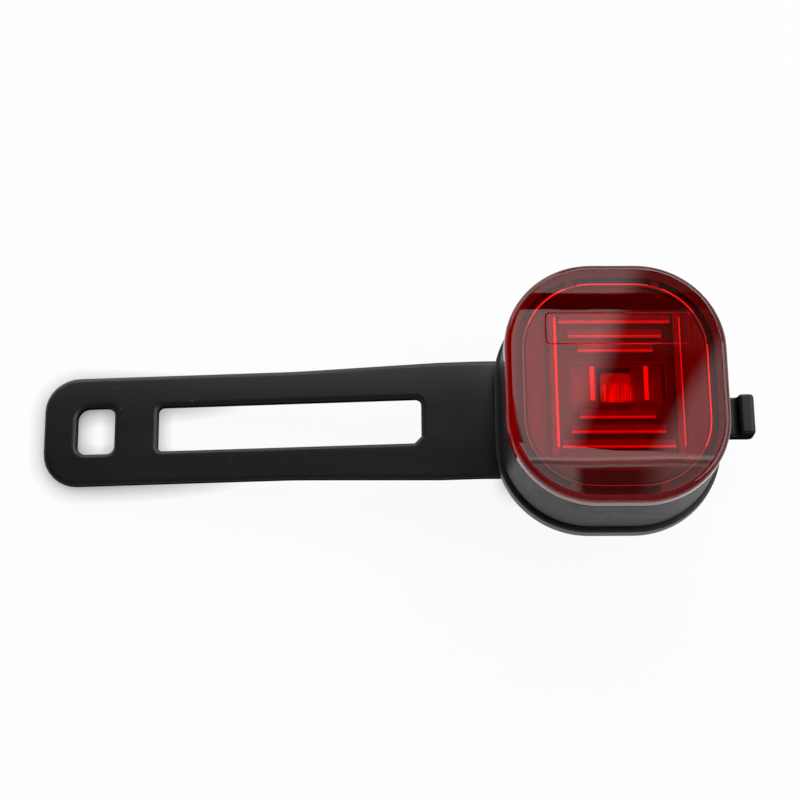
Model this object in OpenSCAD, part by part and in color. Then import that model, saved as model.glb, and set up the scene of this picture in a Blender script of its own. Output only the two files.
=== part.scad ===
// Bicycle rear light with a silicone strap.
// A squared head with a clear red lens sits on a saddle bracket, and the strap
// goes round the seat post and over the bracket's hook.
// The origin is on the axis of the post. +Z points out of the lens, +Y is up on
// the bicycle, and the strap leaves the head towards -X.

/* [Head] */
// Width of the head
head_w = 40; // [38:0.5:44]
// Height of the head
head_h = 44.8; // [43:0.2:49]
// Radius of the head's corners
corner_r = 16; // [14:0.5:17]
// Wall of the housing
wall = 1.8; // [1.6:0.1:2.2]
// Fitting gap between pieces that slide together
fit = 0.15; // [0.1:0.05:0.2]

/* [Lens] */
// Height of the lens above the housing
lens_t = 3.2; // [3:0.1:4]
// Thickness of the lens face
face_t = 2; // [1.6:0.1:2.2]
// Rounding of the lens's front edge
lens_edge = 1.2; // [0.8:0.1:1.4]
// Wall of the lens spigot inside the housing
spigot_t = 1.25; // [1:0.05:1.5]
// Reach of the lens spigot into the housing
spigot_depth = 2; // [1.8:0.1:2.2]
// Width of each snap tab
tab_w = 14; // [12:0.5:15]
// Width of the slits beside a snap tab
slit_w = 1.6; // [1:0.1:2]
// How far a snap catch stands out of its tab
catch_t = 0.6; // [0.4:0.1:0.8]
// Width of a snap catch
catch_w = 10; // [8:0.5:11]
// Height of the lens seal
lens_seal_t = 0.7; // [0.5:0.1:0.8]

/* [Optic] */
// Distance from the centre to the first prism bar
bar_start = 6.3; // [6:0.1:6.5]
// Spacing of the prism bars
bar_pitch = 2.75; // [2.4:0.05:2.8]
// Prism bars on each side of the centre
bar_count = 3; // [2:1:3]
// Half length of the first prism bar
bar_reach = 6.75; // [6:0.25:7]
// Growth in half length from bar to bar
bar_growth = 1.65; // [1:0.05:1.7]
// Width of a prism bar
bar_w = 0.9; // [0.6:0.1:1.1]
// Height of the prism bars
bar_t = 0.9; // [0.6:0.1:1]
// Thickness of the optic's plate
optic_t = 0.8; // [0.6:0.1:0.9]
// Distance from the centre to each side rail
rail_x = 11.2; // [11:0.1:11.6]
// Width of a side rail
rail_w = 1.3; // [1:0.1:1.5]
// Distance from the centre to each upright bar
upright_x = 5; // [4.5:0.1:5.5]
// Gap between the optic and the lens face
optic_gap = 0.2; // [0.1:0.05:0.4]
// Width of the reflector's window
window_w = 16.2; // [15:0.1:17]
// Height of the reflector's window
window_h = 9; // [8:0.1:10]
// Thickness of the reflector's plate
reflector_t = 1.2; // [1:0.1:1.5]
// Wall of the reflector's funnel
funnel_t = 0.8; // [0.6:0.1:1]

/* [Back cover] */
// Height of the cover's edge
cover_t = 3.2; // [2.8:0.1:3.6]
// Thickness of the cover's floor
cover_floor = 2; // [1.8:0.1:2.2]
// How far the cover stands out past the housing
cover_lip = 0.8; // [0.4:0.1:1]
// Chamfer round the cover's back
cover_edge = 0.8; // [0.4:0.1:1]
// Wall of the cover's spigot
cover_spigot_t = 1.2; // [1:0.1:1.4]
// Reach of the cover's spigot past the cover's edge
cover_spigot_h = 1.8; // [1.4:0.1:2.2]
// Height of the rear seal that shows as a dark line
seal_t = 1; // [0.8:0.1:1.2]
// How far the rear seal lies inside the housing's face
seal_inset = 0.4; // [0.3:0.05:0.6]

/* [Saddle and hook] */
// Radius of the seat post that the saddle is shaped to
post_r = 13.6; // [12.7:0.1:14]
// Thickness of the rubber saddle pad
pad_t = 1.2; // [1:0.1:1.4]
// Angle of the post that the pad covers
pad_angle = 120; // [117:1:121]
// Thickness of the bracket over the middle of the pad
web_t = 2; // [1.6:0.1:2.4]
// How far the bracket's sides lie inside the head's sides
saddle_in = 2.3; // [2:0.1:2.4]
// Depth of the grip grooves in the pad
groove_d = 0.4; // [0.2:0.1:0.5]
// Number of grip grooves
groove_count = 4; // [3:1:5]
// Width of a grip groove
groove_w = 1.2; // [0.8:0.1:1.4]
// Width of the hook
hook_w = 7.8; // [6:0.2:8]
// Thickness of the hook's arm
hook_t = 2.5; // [2:0.1:3]
// Gap between the cover and the hook's lip
hook_gap = 4; // [3.6:0.1:4]
// Thickness of the hook's lip
hook_lip_t = 3; // [2:0.1:3]
// Height of the lip above the arm
hook_lip_h = 2; // [1.5:0.1:2.5]

/* [Strap] */
// Thickness of the strap
strap_t = 2.4; // [2:0.1:2.6]
// Length of the strap past the cover's edge
strap_len = 84.8; // [84:0.2:90]
// Width of the strap at the head
strap_w = 23; // [21:0.5:23]
// Width of the strap where the taper slows
strap_mid_w = 21.3; // [20:0.1:21.4]
// Width of the strap at its end
strap_end_w = 21.3; // [19:0.1:21.4]
// Radius of the corners at the strap's end
tip_r = 6.5; // [5:0.5:7.5]
// Length of strap that the bracket clamps
tongue_len = 9.2; // [8.6:0.2:9.6]
// Start of the long slot, from the cover's edge
slot_start = 13.4; // [13.2:0.2:16]
// Solid bridge between the long slot and the end hole
bridge = 8.3; // [5:0.1:9]
// Width of the long slot
slot_w = 8.8; // [8:0.1:10]
// Corner radius of the long slot
slot_r = 1; // [0.6:0.1:1.5]
// Length of the end hole
hole_len = 7.1; // [6.6:0.1:8]
// Width of the end hole
hole_w = 9.2; // [8.6:0.2:10]
// Corner radius of the end hole
hole_r = 1.6; // [1:0.1:2]
// Solid bar past the end hole
end_bar = 6.3; // [4:0.1:6.6]
// First bend line, from the cover's edge
first_bend = 2; // [1.8:0.1:2.4]
// Spacing of the three bend lines at the head
root_pitch = 4.5; // [4.2:0.1:4.8]
// First of the four bend lines that follow the post
wrap_start = 37.5; // [36:0.5:39]
// Spacing of the bend lines that follow the post
wrap_pitch = 8.4; // [8:0.1:8.6]
// Height of the strap's end above the saddle's feet
tip_gap = 0.1; // [0.05:0.05:0.5]

/* [Button] */
// Width of the power button
button_w = 9.6; // [8:0.2:10]
// Height of the power button
button_h = 4.6; // [4:0.2:5]
// How far the button stands out of the housing
button_proud = 1.2; // [0.8:0.1:1.6]
// Travel of the button
button_travel = 0.6; // [0.4:0.1:0.7]
// Edge that keeps the button inside the housing
button_flange = 1.2; // [1:0.1:1.3]
// Thickness of that edge
button_flange_t = 0.9; // [0.7:0.1:1]
// Distance of the button's middle below the circuit board
button_down = 2.7; // [2.4:0.1:3]

/* [Charging socket] */
// Outer width of the socket
socket_w = 7.5; // [7.2:0.1:7.6]
// Outer height of the socket
socket_h = 2.6; // [2.4:0.1:2.8]
// Length of the socket
socket_len = 5.6; // [5:0.1:6]
// Sheet thickness of the socket
socket_sheet = 0.3; // [0.25:0.05:0.35]
// Distance of the socket's middle below the head's middle
socket_down = 1; // [0.8:0.1:1.2]
// Length of the flap, from its hinge to its free end
flap_len = 11.8; // [11.4:0.1:12]
// Height of the flap
flap_h = 6.6; // [6:0.2:7]
// Thickness of the flap
flap_t = 0.95; // [0.8:0.05:1]
// Depth of the flap's recess in the wall
flap_recess = 1; // [0.9:0.05:1.2]
// Radius of the flap's hinge pin
flap_pin_r = 0.5; // [0.4:0.05:0.55]
// Depth of the hinge pin's axis below the wall's face
flap_pin_in = 0.8; // [0.75:0.05:0.9]
// Reach of the hinge pin into the housing at each end
flap_pin_end = 1.2; // [0.8:0.1:1.4]

/* [Electronics] */
// Thickness of the circuit board
board_t = 1; // [0.8:0.1:1.2]
// Gap between the board and the housing's wall
board_gap = 1.7; // [1.6:0.1:1.9]
// Width of the LED
led_w = 5; // [4.5:0.1:5.4]
// Height of the LED's base
led_base_t = 1; // [0.8:0.1:1.2]
// Height of the LED's clear dome
led_dome_t = 1; // [0.6:0.1:1.2]
// Thickness of the cell
cell_t = 6.5; // [5.5:0.1:8]
// Gap between the cell and the screw posts
cell_gap = 0.45; // [0.3:0.05:1]
// Room past each end of the cell, for its leads
cell_end = 5.6; // [5:0.1:7]
// Room under the circuit board, for the switch and the socket
under_board = 3; // [2.9:0.1:4]
// Room between the circuit board and the reflector
over_board = 1.9; // [1.5:0.1:2.4]
// Thickness of the foam behind the cell
foam_t = 1; // [0.8:0.1:1.2]
// Radius of a battery lead
lead_r = 0.45; // [0.4:0.05:0.5]

/* [Screws] */
// Thread radius of the screws
screw_r = 1; // [0.9:0.05:1.1]
// Head radius of the screws
screw_head_r = 1.8; // [1.6:0.05:1.85]
// Head height of the screws
screw_head_t = 1.2; // [1:0.1:1.3]
// Thread length of the cover screws
cover_screw_len = 6; // [5:0.2:7]
// Thread length of the board screws
board_screw_len = 4; // [3:0.2:4.4]
// Thread length of the bracket screws
bracket_screw_len = 8.4; // [7.6:0.2:9]
// Thickness that each bracket screw's head clamps under the cover
bracket_grip = 4.8; // [4.4:0.1:5.4]
// Distance of the bracket screws from the saddle's ends
bracket_screw_end = 4.75; // [4:0.05:6]
// Radius of the housing's screw posts
post_boss_r = 2.3; // [2.1:0.05:2.4]
// Gap between the screw posts and the cover's spigot
post_gap = 0.3; // [0.2:0.05:0.6]
// Radius of the cover's bosses for the bracket screws
cover_boss_r = 2.1; // [2:0.05:2.3]

/* [Hidden] */
$fn = 64;
hull_fn = 32;
eps = 0.05;
skin = 0.02;

// Heights, from the post's axis outwards
z_channel = post_r + pad_t;
z_cover = z_channel + web_t;
z_floor = z_cover + cover_floor;
z_edge = z_cover + cover_t;
z_house = z_edge + seal_t;
z_cell = z_floor + foam_t;
z_board = z_cell + cell_t + under_board;
z_reflector = z_board + board_t + over_board;
z_optic = z_reflector + reflector_t;
z_inner = z_optic + optic_t + bar_t + optic_gap;
z_face = z_inner + face_t;
z_lens = z_face - lens_t;
z_spigot = z_lens - spigot_depth;
z_ledge = z_spigot - lens_seal_t;
ledge_t = 0.8;
z_foot = post_r * cos(pad_angle / 2);

// Insets from the head's outline
spigot_out = wall + fit;
spigot_in = spigot_out + spigot_t;
cover_spigot_in = spigot_out + cover_spigot_t;
board_inset = wall + board_gap;

// Cover screws lie on the middle of each corner, just inside the cover's spigot
screw_reach = corner_r - cover_spigot_in - post_boss_r - post_gap;
corner_at = [head_w / 2 - corner_r, head_h / 2 - corner_r];
cover_screw = corner_at + screw_reach * [cos(45), sin(45)];

// Saddle, with its screws in the middle of each foot
saddle_w = head_w - 2 * saddle_in;
saddle_len = strap_w;
foot_in = sqrt(z_channel * z_channel - z_foot * z_foot);
bracket_screw = [(foot_in + saddle_w / 2) / 2, saddle_len / 2 - bracket_screw_end];
z_bracket_head = z_cover - bracket_grip - screw_head_t;
hook_x = head_w / 2 + cover_lip + hook_gap;

// Strap, measured from the cover's edge
strap_x0 = -(head_w / 2 + cover_lip);
z_strap = z_cover - strap_t;
tongue_x = -(saddle_w / 2 - tongue_len);
taper_from = 10;
taper_slow = 37;
hole_start = strap_len - end_bar - hole_len;
bends = concat([for (i = [0:2]) first_bend + i * root_pitch],
               [for (i = [0:3]) wrap_start + i * wrap_pitch]);
edges = concat(bends, [strap_len]);
droop = asin((z_strap - z_foot - tip_gap) / (strap_len - first_bend));

// Button and its switch
button_z = z_board - button_down;
flange_gap = 0.3;
flange_y = head_h / 2 - wall - flange_gap;
switch_size = [6, 3.4, 2.8];
plunger = [2.6, 1.3];
plunger_out = 2.5;
plunger_in = 1.2;
switch_front = flange_y - button_flange_t - plunger_out;
switch_z = z_board - switch_size[2] / 2;

// Charging socket and flap
socket_z = z_board - socket_h / 2;
socket_back = 0.3;
socket_x = head_w / 2 - flap_recess - socket_back;
hinge_x = head_w / 2 - flap_pin_in;
flap_shift = 0.7;
hinge_y = flap_len / 2 - socket_down + flap_shift;
flap_free_y = hinge_y - flap_len;
flap_play = 0.2;
flap_root = 0.2;
pin_play = 0.05;
socket_play = 0.4;
plug_play = 0.2;
plug_in = 0.8;

// Cell
cell = [2 * (cover_screw[0] - post_boss_r - cell_gap), head_h - 2 * (wall + cell_end), cell_t];

// The head's outline, moved in by inset
module plan(inset = 0) {
    w = head_w - 2 * inset;
    h = head_h - 2 * inset;
    r = corner_r - inset;
    square([w - 2 * r, h], center = true);
    square([w, h - 2 * r], center = true);
    for (sx = [-1, 1], sy = [-1, 1])
        translate([sx * (w / 2 - r), sy * (h / 2 - r)]) circle(r);
}

module slab(inset, z0, z1) {
    translate([0, 0, z0]) linear_extrude(z1 - z0) plan(inset);
}

module ring(outer, inner, z0, z1) {
    difference() {
        slab(outer, z0, z1);
        slab(inner, z0 - 1, z1 + 1);
    }
}

// A box given by its two corners
module span(low, high) {
    translate(low) cube(high - low);
}

module at_corners(p) {
    for (sx = [-1, 1], sy = [-1, 1]) translate([sx * p[0], sy * p[1], 0]) children();
}

// A box with round ends, length along X, standing up along Y
module obround(w, h, y0, y1) {
    translate([0, y1, 0]) rotate([90, 0, 0]) linear_extrude(y1 - y0) {
        square([w - h, h], center = true);
        for (s = [-1, 1]) translate([s * (w - h) / 2, 0]) circle(h / 2);
    }
}

// A rectangle with round corners, along X from x0 for len and centred on Y
module round_slot(x0, len, w, r) {
    translate([x0 + len / 2, 0]) {
        square([len - 2 * r, w], center = true);
        square([len, w - 2 * r], center = true);
        for (sx = [-1, 1], sy = [-1, 1])
            translate([sx * (len / 2 - r), sy * (w / 2 - r)]) circle(r);
    }
}

module lens() {
    arc_steps = 4;
    catch_h = 0.8;
    color([0.75, 0.04, 0.05, 0.7]) difference() {
        union() {
            hull() for (i = [0:arc_steps]) {
                turn = 90 * i / arc_steps;
                drop = lens_edge * (1 - sin(turn));
                slab(lens_edge * (1 - cos(turn)), z_lens, z_face - drop, $fn = hull_fn);
            }
            ring(spigot_out, spigot_in, z_spigot, z_lens + eps);
            for (s = [-1, 1])
                translate([0, s * (head_h / 2 - spigot_out), z_spigot + 0.3])
                    span([-catch_w / 2, -catch_t, 0], [catch_w / 2, catch_t, catch_h]);
        }
        slab(spigot_in, z_spigot - 1, z_inner);
        for (s = [-1, 1]) translate([s * (tab_w + slit_w) / 2, 0, 0])
            span([-slit_w / 2, -head_h / 2, z_spigot - 1], [slit_w / 2, head_h / 2, z_lens - 0.2]);
    }
}

module optic() {
    plate = [2 * rail_x + rail_w + 1, 2 * (bar_start + (bar_count - 1) * bar_pitch) + 4];
    upright_h = window_h - 2.6;
    top = z_optic + optic_t;
    color([0.85, 0.08, 0.08, 0.7]) union() {
        span([-plate[0] / 2, -plate[1] / 2, z_optic], [plate[0] / 2, plate[1] / 2, top]);
        for (i = [0:bar_count - 1], s = [-1, 1]) {
            y = s * (bar_start + i * bar_pitch);
            reach = bar_reach + i * bar_growth;
            span([-reach, y - bar_w / 2, top - eps], [reach, y + bar_w / 2, top + bar_t]);
        }
        for (s = [-1, 1]) {
            span([s * rail_x - rail_w / 2, -plate[1] / 2, top - eps],
                 [s * rail_x + rail_w / 2, plate[1] / 2, top + bar_t]);
            span([s * upright_x - bar_w / 2, -upright_h / 2, top - eps],
                 [s * upright_x + bar_w / 2, upright_h / 2, top + bar_t]);
        }
    }
}

module lens_seal() {
    color("dimgray") ring(spigot_out, spigot_in, z_ledge, z_spigot);
}

module reflector() {
    inner = [window_w, window_h];
    outer = inner + [2 * funnel_t, 2 * funnel_t];
    color("gainsboro") difference() {
        union() {
            slab(spigot_in + 0.3, z_reflector, z_optic);
            span([-outer[0] / 2, -outer[1] / 2, z_board + board_t],
                 [outer[0] / 2, outer[1] / 2, z_optic]);
        }
        span([-inner[0] / 2, -inner[1] / 2, z_board], [inner[0] / 2, inner[1] / 2, z_optic + 1]);
    }
}

// The housing's wall, with a ledge inside for the lens seal
module housing_shell() {
    difference() {
        slab(0, z_house, z_lens);
        slab(wall, z_house - 1, z_ledge - ledge_t);
        slab(spigot_in, z_house, z_lens);
        slab(wall, z_ledge, z_lens + 1);
    }
}

// Screw posts on the housing, each with a rib to the nearest corner
module housing_posts() {
    rib_t = 1.4;
    rib_from = post_boss_r - 0.4;
    rib_to = corner_r - wall - screw_reach + 0.3;
    z_rib = z_edge + cover_spigot_h + 0.3;
    rib_h = z_board - 0.5 - z_rib;
    at_corners(cover_screw) translate([0, 0, z_floor]) cylinder(r = post_boss_r, h = z_board - z_floor);
    for (sx = [-1, 1], sy = [-1, 1])
        translate([sx * cover_screw[0], sy * cover_screw[1], z_rib]) rotate([0, 0, atan2(sy, sx)])
            translate([rib_from, -rib_t / 2, 0]) cube([rib_to - rib_from, rib_t, rib_h]);
}

// Everything cut out of the housing for the flap and the socket
module flap_cut() {
    half_h = flap_h / 2 + flap_play;
    window = [socket_w / 2 + socket_play, socket_h / 2 + socket_play];
    span([head_w / 2 - flap_recess, flap_free_y - flap_play, socket_z - half_h],
         [head_w / 2 + 1, hinge_y + flap_pin_r + 1, socket_z + half_h]);
    translate([hinge_x, hinge_y, socket_z]) {
        cylinder(r = flap_pin_r + flap_play, h = 2 * half_h, center = true);
        cylinder(r = flap_pin_r + pin_play, h = 2 * (half_h + flap_pin_end), center = true);
    }
    span([head_w / 2 - wall - 1, -socket_down - window[0], socket_z - window[1]],
         [head_w / 2, -socket_down + window[0], socket_z + window[1]]);
}

module housing() {
    thread = screw_r + skin;
    cover_tip = z_cover + screw_head_t + cover_screw_len + 0.5;
    board_tip = z_board + board_t - board_screw_len - 0.5;
    color("#262628") difference() {
        union() {
            housing_shell();
            housing_posts();
        }
        at_corners(cover_screw) {
            translate([0, 0, z_floor - 1]) cylinder(r = thread, h = cover_tip - z_floor + 1);
            translate([0, 0, board_tip]) cylinder(r = thread, h = z_board - board_tip + 1);
        }
        translate([0, 0, button_z])
            obround(button_w + 2 * fit, button_h + 2 * fit, head_h / 2 - wall - 1, head_h / 2 + 1);
        for (s = [-1, 1]) translate([0, s * (head_h / 2 - wall), z_spigot])
            span([-catch_w / 2 - 0.4, -catch_t - 0.3, 0.1], [catch_w / 2 + 0.4, catch_t + 0.3, 1.4]);
        flap_cut();
    }
}

module back_cover() {
    tip = bracket_screw_len - bracket_grip + 0.5;
    color("#222224") difference() {
        union() {
            hull() {
                slab(cover_edge - cover_lip, z_cover, z_edge, $fn = hull_fn);
                slab(-cover_lip, z_cover + cover_edge, z_edge, $fn = hull_fn);
            }
            slab(spigot_out, z_edge - eps, z_edge + cover_spigot_h);
        }
        difference() {
            slab(cover_spigot_in, z_floor, z_edge + cover_spigot_h + 1);
            at_corners(bracket_screw) translate([0, 0, z_cover]) cylinder(r = cover_boss_r, h = tip + 1);
        }
        at_corners(bracket_screw) translate([0, 0, z_cover - 1]) cylinder(r = screw_r + skin, h = tip + 1);
        at_corners(cover_screw) {
            translate([0, 0, z_cover - 1]) cylinder(r = screw_r + 0.1, h = cover_floor + 2);
            translate([0, 0, z_cover - 1]) cylinder(r = screw_head_r + fit, h = 1 + screw_head_t);
        }
    }
}

module rear_seal() {
    color("#101010") ring(seal_inset, spigot_out - eps, z_edge, z_house);
}

module circuit_board() {
    notch = button_w + 2 * button_flange + 2;
    color("darkgreen") difference() {
        slab(board_inset, z_board, z_board + board_t);
        span([-notch / 2, flange_y - button_flange_t - 1.2, z_board - 1], [notch / 2, head_h, z_board + 2]);
        at_corners(cover_screw) translate([0, 0, z_board - 1]) cylinder(r = screw_r + 0.1, h = 4);
    }
}

module led() {
    z = z_board + board_t;
    color("red") {
        translate([-led_w / 2, -led_w / 2, z]) cube([led_w, led_w, led_base_t]);
        translate([0, 0, z + led_base_t - eps]) cylinder(r = led_w * 0.4, h = led_dome_t + eps);
    }
}

// Driver chip, resistors and the charge indicator, on the front of the board
module board_chips() {
    z = z_board + board_t;
    chip = [2.9, 1.6, 1.1];
    resistor = [2, 1.25, 0.5];
    indicator = [1.6, 0.8, 0.7];
    chip_at = [-10.6, -8.5];
    row_at = [-11, -11.5];
    pair_at = [-10.6, 8];
    resistor_pitch = 2.9;
    indicator_at = [9.6, 6];
    color("#1c1c1c") {
        translate([chip_at[0], chip_at[1], z]) cube(chip);
        for (i = [0:3]) translate([row_at[0] + resistor_pitch * i, row_at[1], z]) cube(resistor);
        for (i = [0:1]) translate([pair_at[0] + resistor_pitch * i, pair_at[1], z]) cube(resistor);
    }
    color("lime") translate([indicator_at[0], indicator_at[1], z]) cube(indicator);
}

module tact_switch() {
    slot = [plunger[0] + 2 * fit, 2 * (plunger_in + button_travel + 0.3), plunger[1] + 2 * fit];
    color("silver") translate([0, switch_front, switch_z]) difference() {
        translate([0, -switch_size[1] / 2, 0]) cube(switch_size, center = true);
        cube(slot, center = true);
    }
}

module switch_plunger() {
    half = plunger / 2;
    color("black") span([-half[0], switch_front - plunger_in, switch_z - half[1]],
                        [half[0], flange_y - button_flange_t, switch_z + half[1]]);
}

module power_button() {
    dome = 0.4;
    top = head_h / 2 + button_proud;
    color("#2e2e30") translate([0, 0, button_z]) union() {
        obround(button_w, button_h, flange_y - eps, top - dome);
        obround(button_w - 2 * dome, button_h - 2 * dome, top - dome - eps, top);
        obround(button_w + 2 * button_flange, button_h + 2 * button_flange,
                flange_y - button_flange_t, flange_y);
    }
}

module usb_socket() {
    tongue = [3.7, 0.6, 3.2];
    mouth = [socket_w - 2 * socket_sheet, socket_h - 2 * socket_sheet];
    depth = socket_len - 1.2;
    color("silver") translate([socket_x, -socket_down, socket_z]) union() {
        difference() {
            translate([-socket_len, -socket_w / 2, -socket_h / 2]) cube([socket_len, socket_w, socket_h]);
            translate([-depth, -mouth[0] / 2, -mouth[1] / 2]) cube([depth + 1, mouth[0], mouth[1]]);
        }
        translate([-depth - eps, -tongue[0] / 2, 0]) cube([tongue[2], tongue[0], tongue[1]]);
    }
}

// Rubber flap over the socket, with its plug, turning about its own pin
module usb_flap() {
    low_x = head_w / 2 - flap_t;
    root_y = hinge_y - flap_root;
    plug = [socket_w / 2 - socket_sheet - plug_play, socket_h / 2 - socket_sheet - plug_play];
    color("#2a2a2c") union() {
        span([low_x, flap_free_y, socket_z - flap_h / 2], [head_w / 2, root_y, socket_z + flap_h / 2]);
        span([socket_x - plug_in, -socket_down - plug[0], socket_z - plug[1]],
             [low_x + eps, -socket_down + plug[0], socket_z + plug[1]]);
        translate([hinge_x, hinge_y, socket_z])
            cylinder(r = flap_pin_r, h = flap_h + 2 * flap_pin_end, center = true);
    }
}

module battery_cell() {
    color("lightsteelblue") translate([-cell[0] / 2, -cell[1] / 2, z_cell]) cube(cell);
}

module battery_foam() {
    color("#3a3a3c") translate([-cell[0] / 2, -cell[1] / 2, z_floor]) cube([cell[0], cell[1], foam_t]);
}

// Two leads that leave the cell's lower end and turn up to the board
module battery_leads() {
    bend = 1.5;
    apart = 4;
    z = z_cell + cell_t / 2 + bend;
    for (s = [-1, 1]) color(s > 0 ? "red" : "black")
        translate([s * apart / 2, -cell[1] / 2, z]) union() {
            rotate([0, 90, 0]) rotate([0, 0, -90])
                rotate_extrude(angle = 90) translate([bend, 0]) circle(lead_r);
            translate([0, -bend, 0]) cylinder(r = lead_r, h = z_board - z);
        }
}

// One pan-head screw, head down, with a cross recess
module screw(length) {
    cross = [2.2, 0.5, 0.6];
    color("silver") difference() {
        union() {
            cylinder(r = screw_head_r, h = screw_head_t);
            translate([0, 0, screw_head_t - eps]) cylinder(r = screw_r, h = length + eps);
        }
        for (a = [0, 90]) rotate([0, 0, a])
            translate([-cross[0] / 2, -cross[1] / 2, -1]) cube([cross[0], cross[1], 1 + cross[2]]);
    }
}

module board_screws() {
    for (s = [-1, 1])
        translate([s * cover_screw[0], -s * cover_screw[1], z_board + board_t + screw_head_t])
            rotate([180, 0, 0]) screw(board_screw_len);
}

module cover_screws() {
    at_corners(cover_screw) translate([0, 0, z_cover]) screw(cover_screw_len);
}

module bracket_screws() {
    at_corners(bracket_screw) translate([0, 0, z_bracket_head]) screw(bracket_screw_len);
}

module mount_bracket() {
    half = [saddle_w / 2, saddle_len / 2];
    lip = 0.5;
    color("#1d1d1f") difference() {
        union() {
            span([-half[0], -half[1], z_foot], [half[0], half[1], z_cover]);
            span([half[0] - eps, -hook_w / 2, z_cover - hook_t], [hook_x + hook_lip_t, hook_w / 2, z_cover]);
            hull() {
                span([hook_x, -hook_w / 2, z_cover - hook_t],
                     [hook_x + hook_lip_t, hook_w / 2, z_cover + hook_lip_h - lip]);
                span([hook_x + lip, -hook_w / 2 + lip, z_cover],
                     [hook_x + hook_lip_t - lip, hook_w / 2 - lip, z_cover + hook_lip_h]);
            }
        }
        rotate([90, 0, 0]) cylinder(r = z_channel, h = saddle_len + 2, center = true);
        span([-half[0] - 1, -half[1] - 1, z_strap], [tongue_x, half[1] + 1, z_cover + 1]);
        at_corners(bracket_screw) {
            translate([0, 0, z_foot - 1]) cylinder(r = screw_r + 0.1, h = z_cover);
            translate([0, 0, z_foot - 1])
                cylinder(r = screw_head_r + fit, h = z_bracket_head + screw_head_t - z_foot + 1);
        }
    }
}

// Rubber pad in the bracket's channel, grooved on the post's side
module saddle_pad() {
    pitch = saddle_len / (groove_count + 1);
    color("#181818") rotate([90, 0, 0]) rotate([0, 0, 90 - pad_angle / 2])
        rotate_extrude(angle = pad_angle) difference() {
            translate([post_r, -saddle_len / 2]) square([pad_t - eps, saddle_len]);
            for (i = [1:groove_count])
                translate([post_r - 1, -saddle_len / 2 + i * pitch - groove_w / 2])
                    square([1 + groove_d, groove_w]);
        }
}

// Half width of the strap at a distance from the cover's edge
function half_width(s) = lookup(s, [[0, strap_w / 2], [taper_from, strap_w / 2],
                                    [taper_slow, strap_mid_w / 2], [strap_len, strap_end_w / 2]]);

// Plan of the strap, with x measured from the cover's edge
module strap_plan() {
    stops = [-saddle_w, 0, taper_from, taper_slow, strap_len];
    far = len(stops) - 1;
    difference() {
        polygon(concat([for (s = stops) [s, half_width(s)]],
                       [for (i = [far:-1:0]) [stops[i], -half_width(stops[i])]]));
        for (s = [-1, 1]) translate([strap_len - tip_r, s * (strap_end_w / 2 - tip_r)]) difference() {
            translate([0, s < 0 ? -tip_r - 1 : 0]) square(tip_r + 1);
            circle(tip_r);
        }
        round_slot(slot_start, hole_start - bridge - slot_start, slot_w, slot_r);
        round_slot(hole_start, hole_len, hole_w, hole_r);
    }
}

module strap_piece(from, to) {
    linear_extrude(strap_t) intersection() {
        strap_plan();
        translate([from, -strap_w]) square([to - from, 2 * strap_w]);
    }
}

// The strap runs towards -X, so its plan is turned half round
module strap_root() {
    color("#1b1b1c") difference() {
        translate([strap_x0, 0, z_strap]) rotate([0, 0, 180])
            strap_piece(strap_x0 - tongue_x + eps, first_bend);
        at_corners(bracket_screw) translate([0, 0, z_strap - 1])
            cylinder(r = screw_r + 0.1, h = strap_t + 2);
    }
}

// One stretch of the strap between two bend lines, drooping from the first bend
module strap_link(i) {
    color("#1b1b1c") translate([strap_x0 - first_bend, 0, z_strap]) rotate([0, -droop, 0])
        rotate([0, 0, 180]) translate([-first_bend, 0, 0]) strap_piece(edges[i - 1], edges[i]);
}

lens();
optic();
lens_seal();
reflector();
housing();
back_cover();
rear_seal();
circuit_board();
led();
board_chips();
tact_switch();
switch_plunger();
power_button();
usb_socket();
usb_flap();
battery_cell();
battery_foam();
battery_leads();
board_screws();
cover_screws();
mount_bracket();
saddle_pad();
bracket_screws();
strap_root();
for (i = [1:len(bends)]) strap_link(i);
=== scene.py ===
"""Looks of a bicycle rear light with a silicone strap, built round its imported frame."""
import math

import bmesh
import bpy
from mathutils import Matrix, Vector


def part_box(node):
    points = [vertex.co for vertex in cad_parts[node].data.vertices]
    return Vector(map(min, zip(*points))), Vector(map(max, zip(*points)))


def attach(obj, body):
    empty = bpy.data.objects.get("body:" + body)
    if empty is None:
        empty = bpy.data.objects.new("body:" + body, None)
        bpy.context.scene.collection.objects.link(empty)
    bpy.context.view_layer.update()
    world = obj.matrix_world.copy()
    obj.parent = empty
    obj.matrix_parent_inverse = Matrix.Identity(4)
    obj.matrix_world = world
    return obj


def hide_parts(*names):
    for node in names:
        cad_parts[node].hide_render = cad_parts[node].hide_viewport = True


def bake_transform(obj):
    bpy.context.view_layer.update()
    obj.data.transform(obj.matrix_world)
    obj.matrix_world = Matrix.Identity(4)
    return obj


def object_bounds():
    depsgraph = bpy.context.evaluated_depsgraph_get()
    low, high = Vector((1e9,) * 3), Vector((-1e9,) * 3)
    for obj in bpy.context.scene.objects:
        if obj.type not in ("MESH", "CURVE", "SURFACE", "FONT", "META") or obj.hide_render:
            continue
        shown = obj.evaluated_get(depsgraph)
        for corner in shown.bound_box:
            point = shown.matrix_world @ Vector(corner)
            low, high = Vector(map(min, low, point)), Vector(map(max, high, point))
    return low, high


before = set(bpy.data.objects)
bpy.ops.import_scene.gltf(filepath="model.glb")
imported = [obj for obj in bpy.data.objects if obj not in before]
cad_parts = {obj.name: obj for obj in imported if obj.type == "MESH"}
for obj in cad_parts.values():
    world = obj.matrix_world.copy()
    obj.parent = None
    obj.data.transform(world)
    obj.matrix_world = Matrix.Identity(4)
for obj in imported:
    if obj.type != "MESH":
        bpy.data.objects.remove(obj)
cad_low, cad_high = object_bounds()
scene = bpy.context.scene
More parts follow.
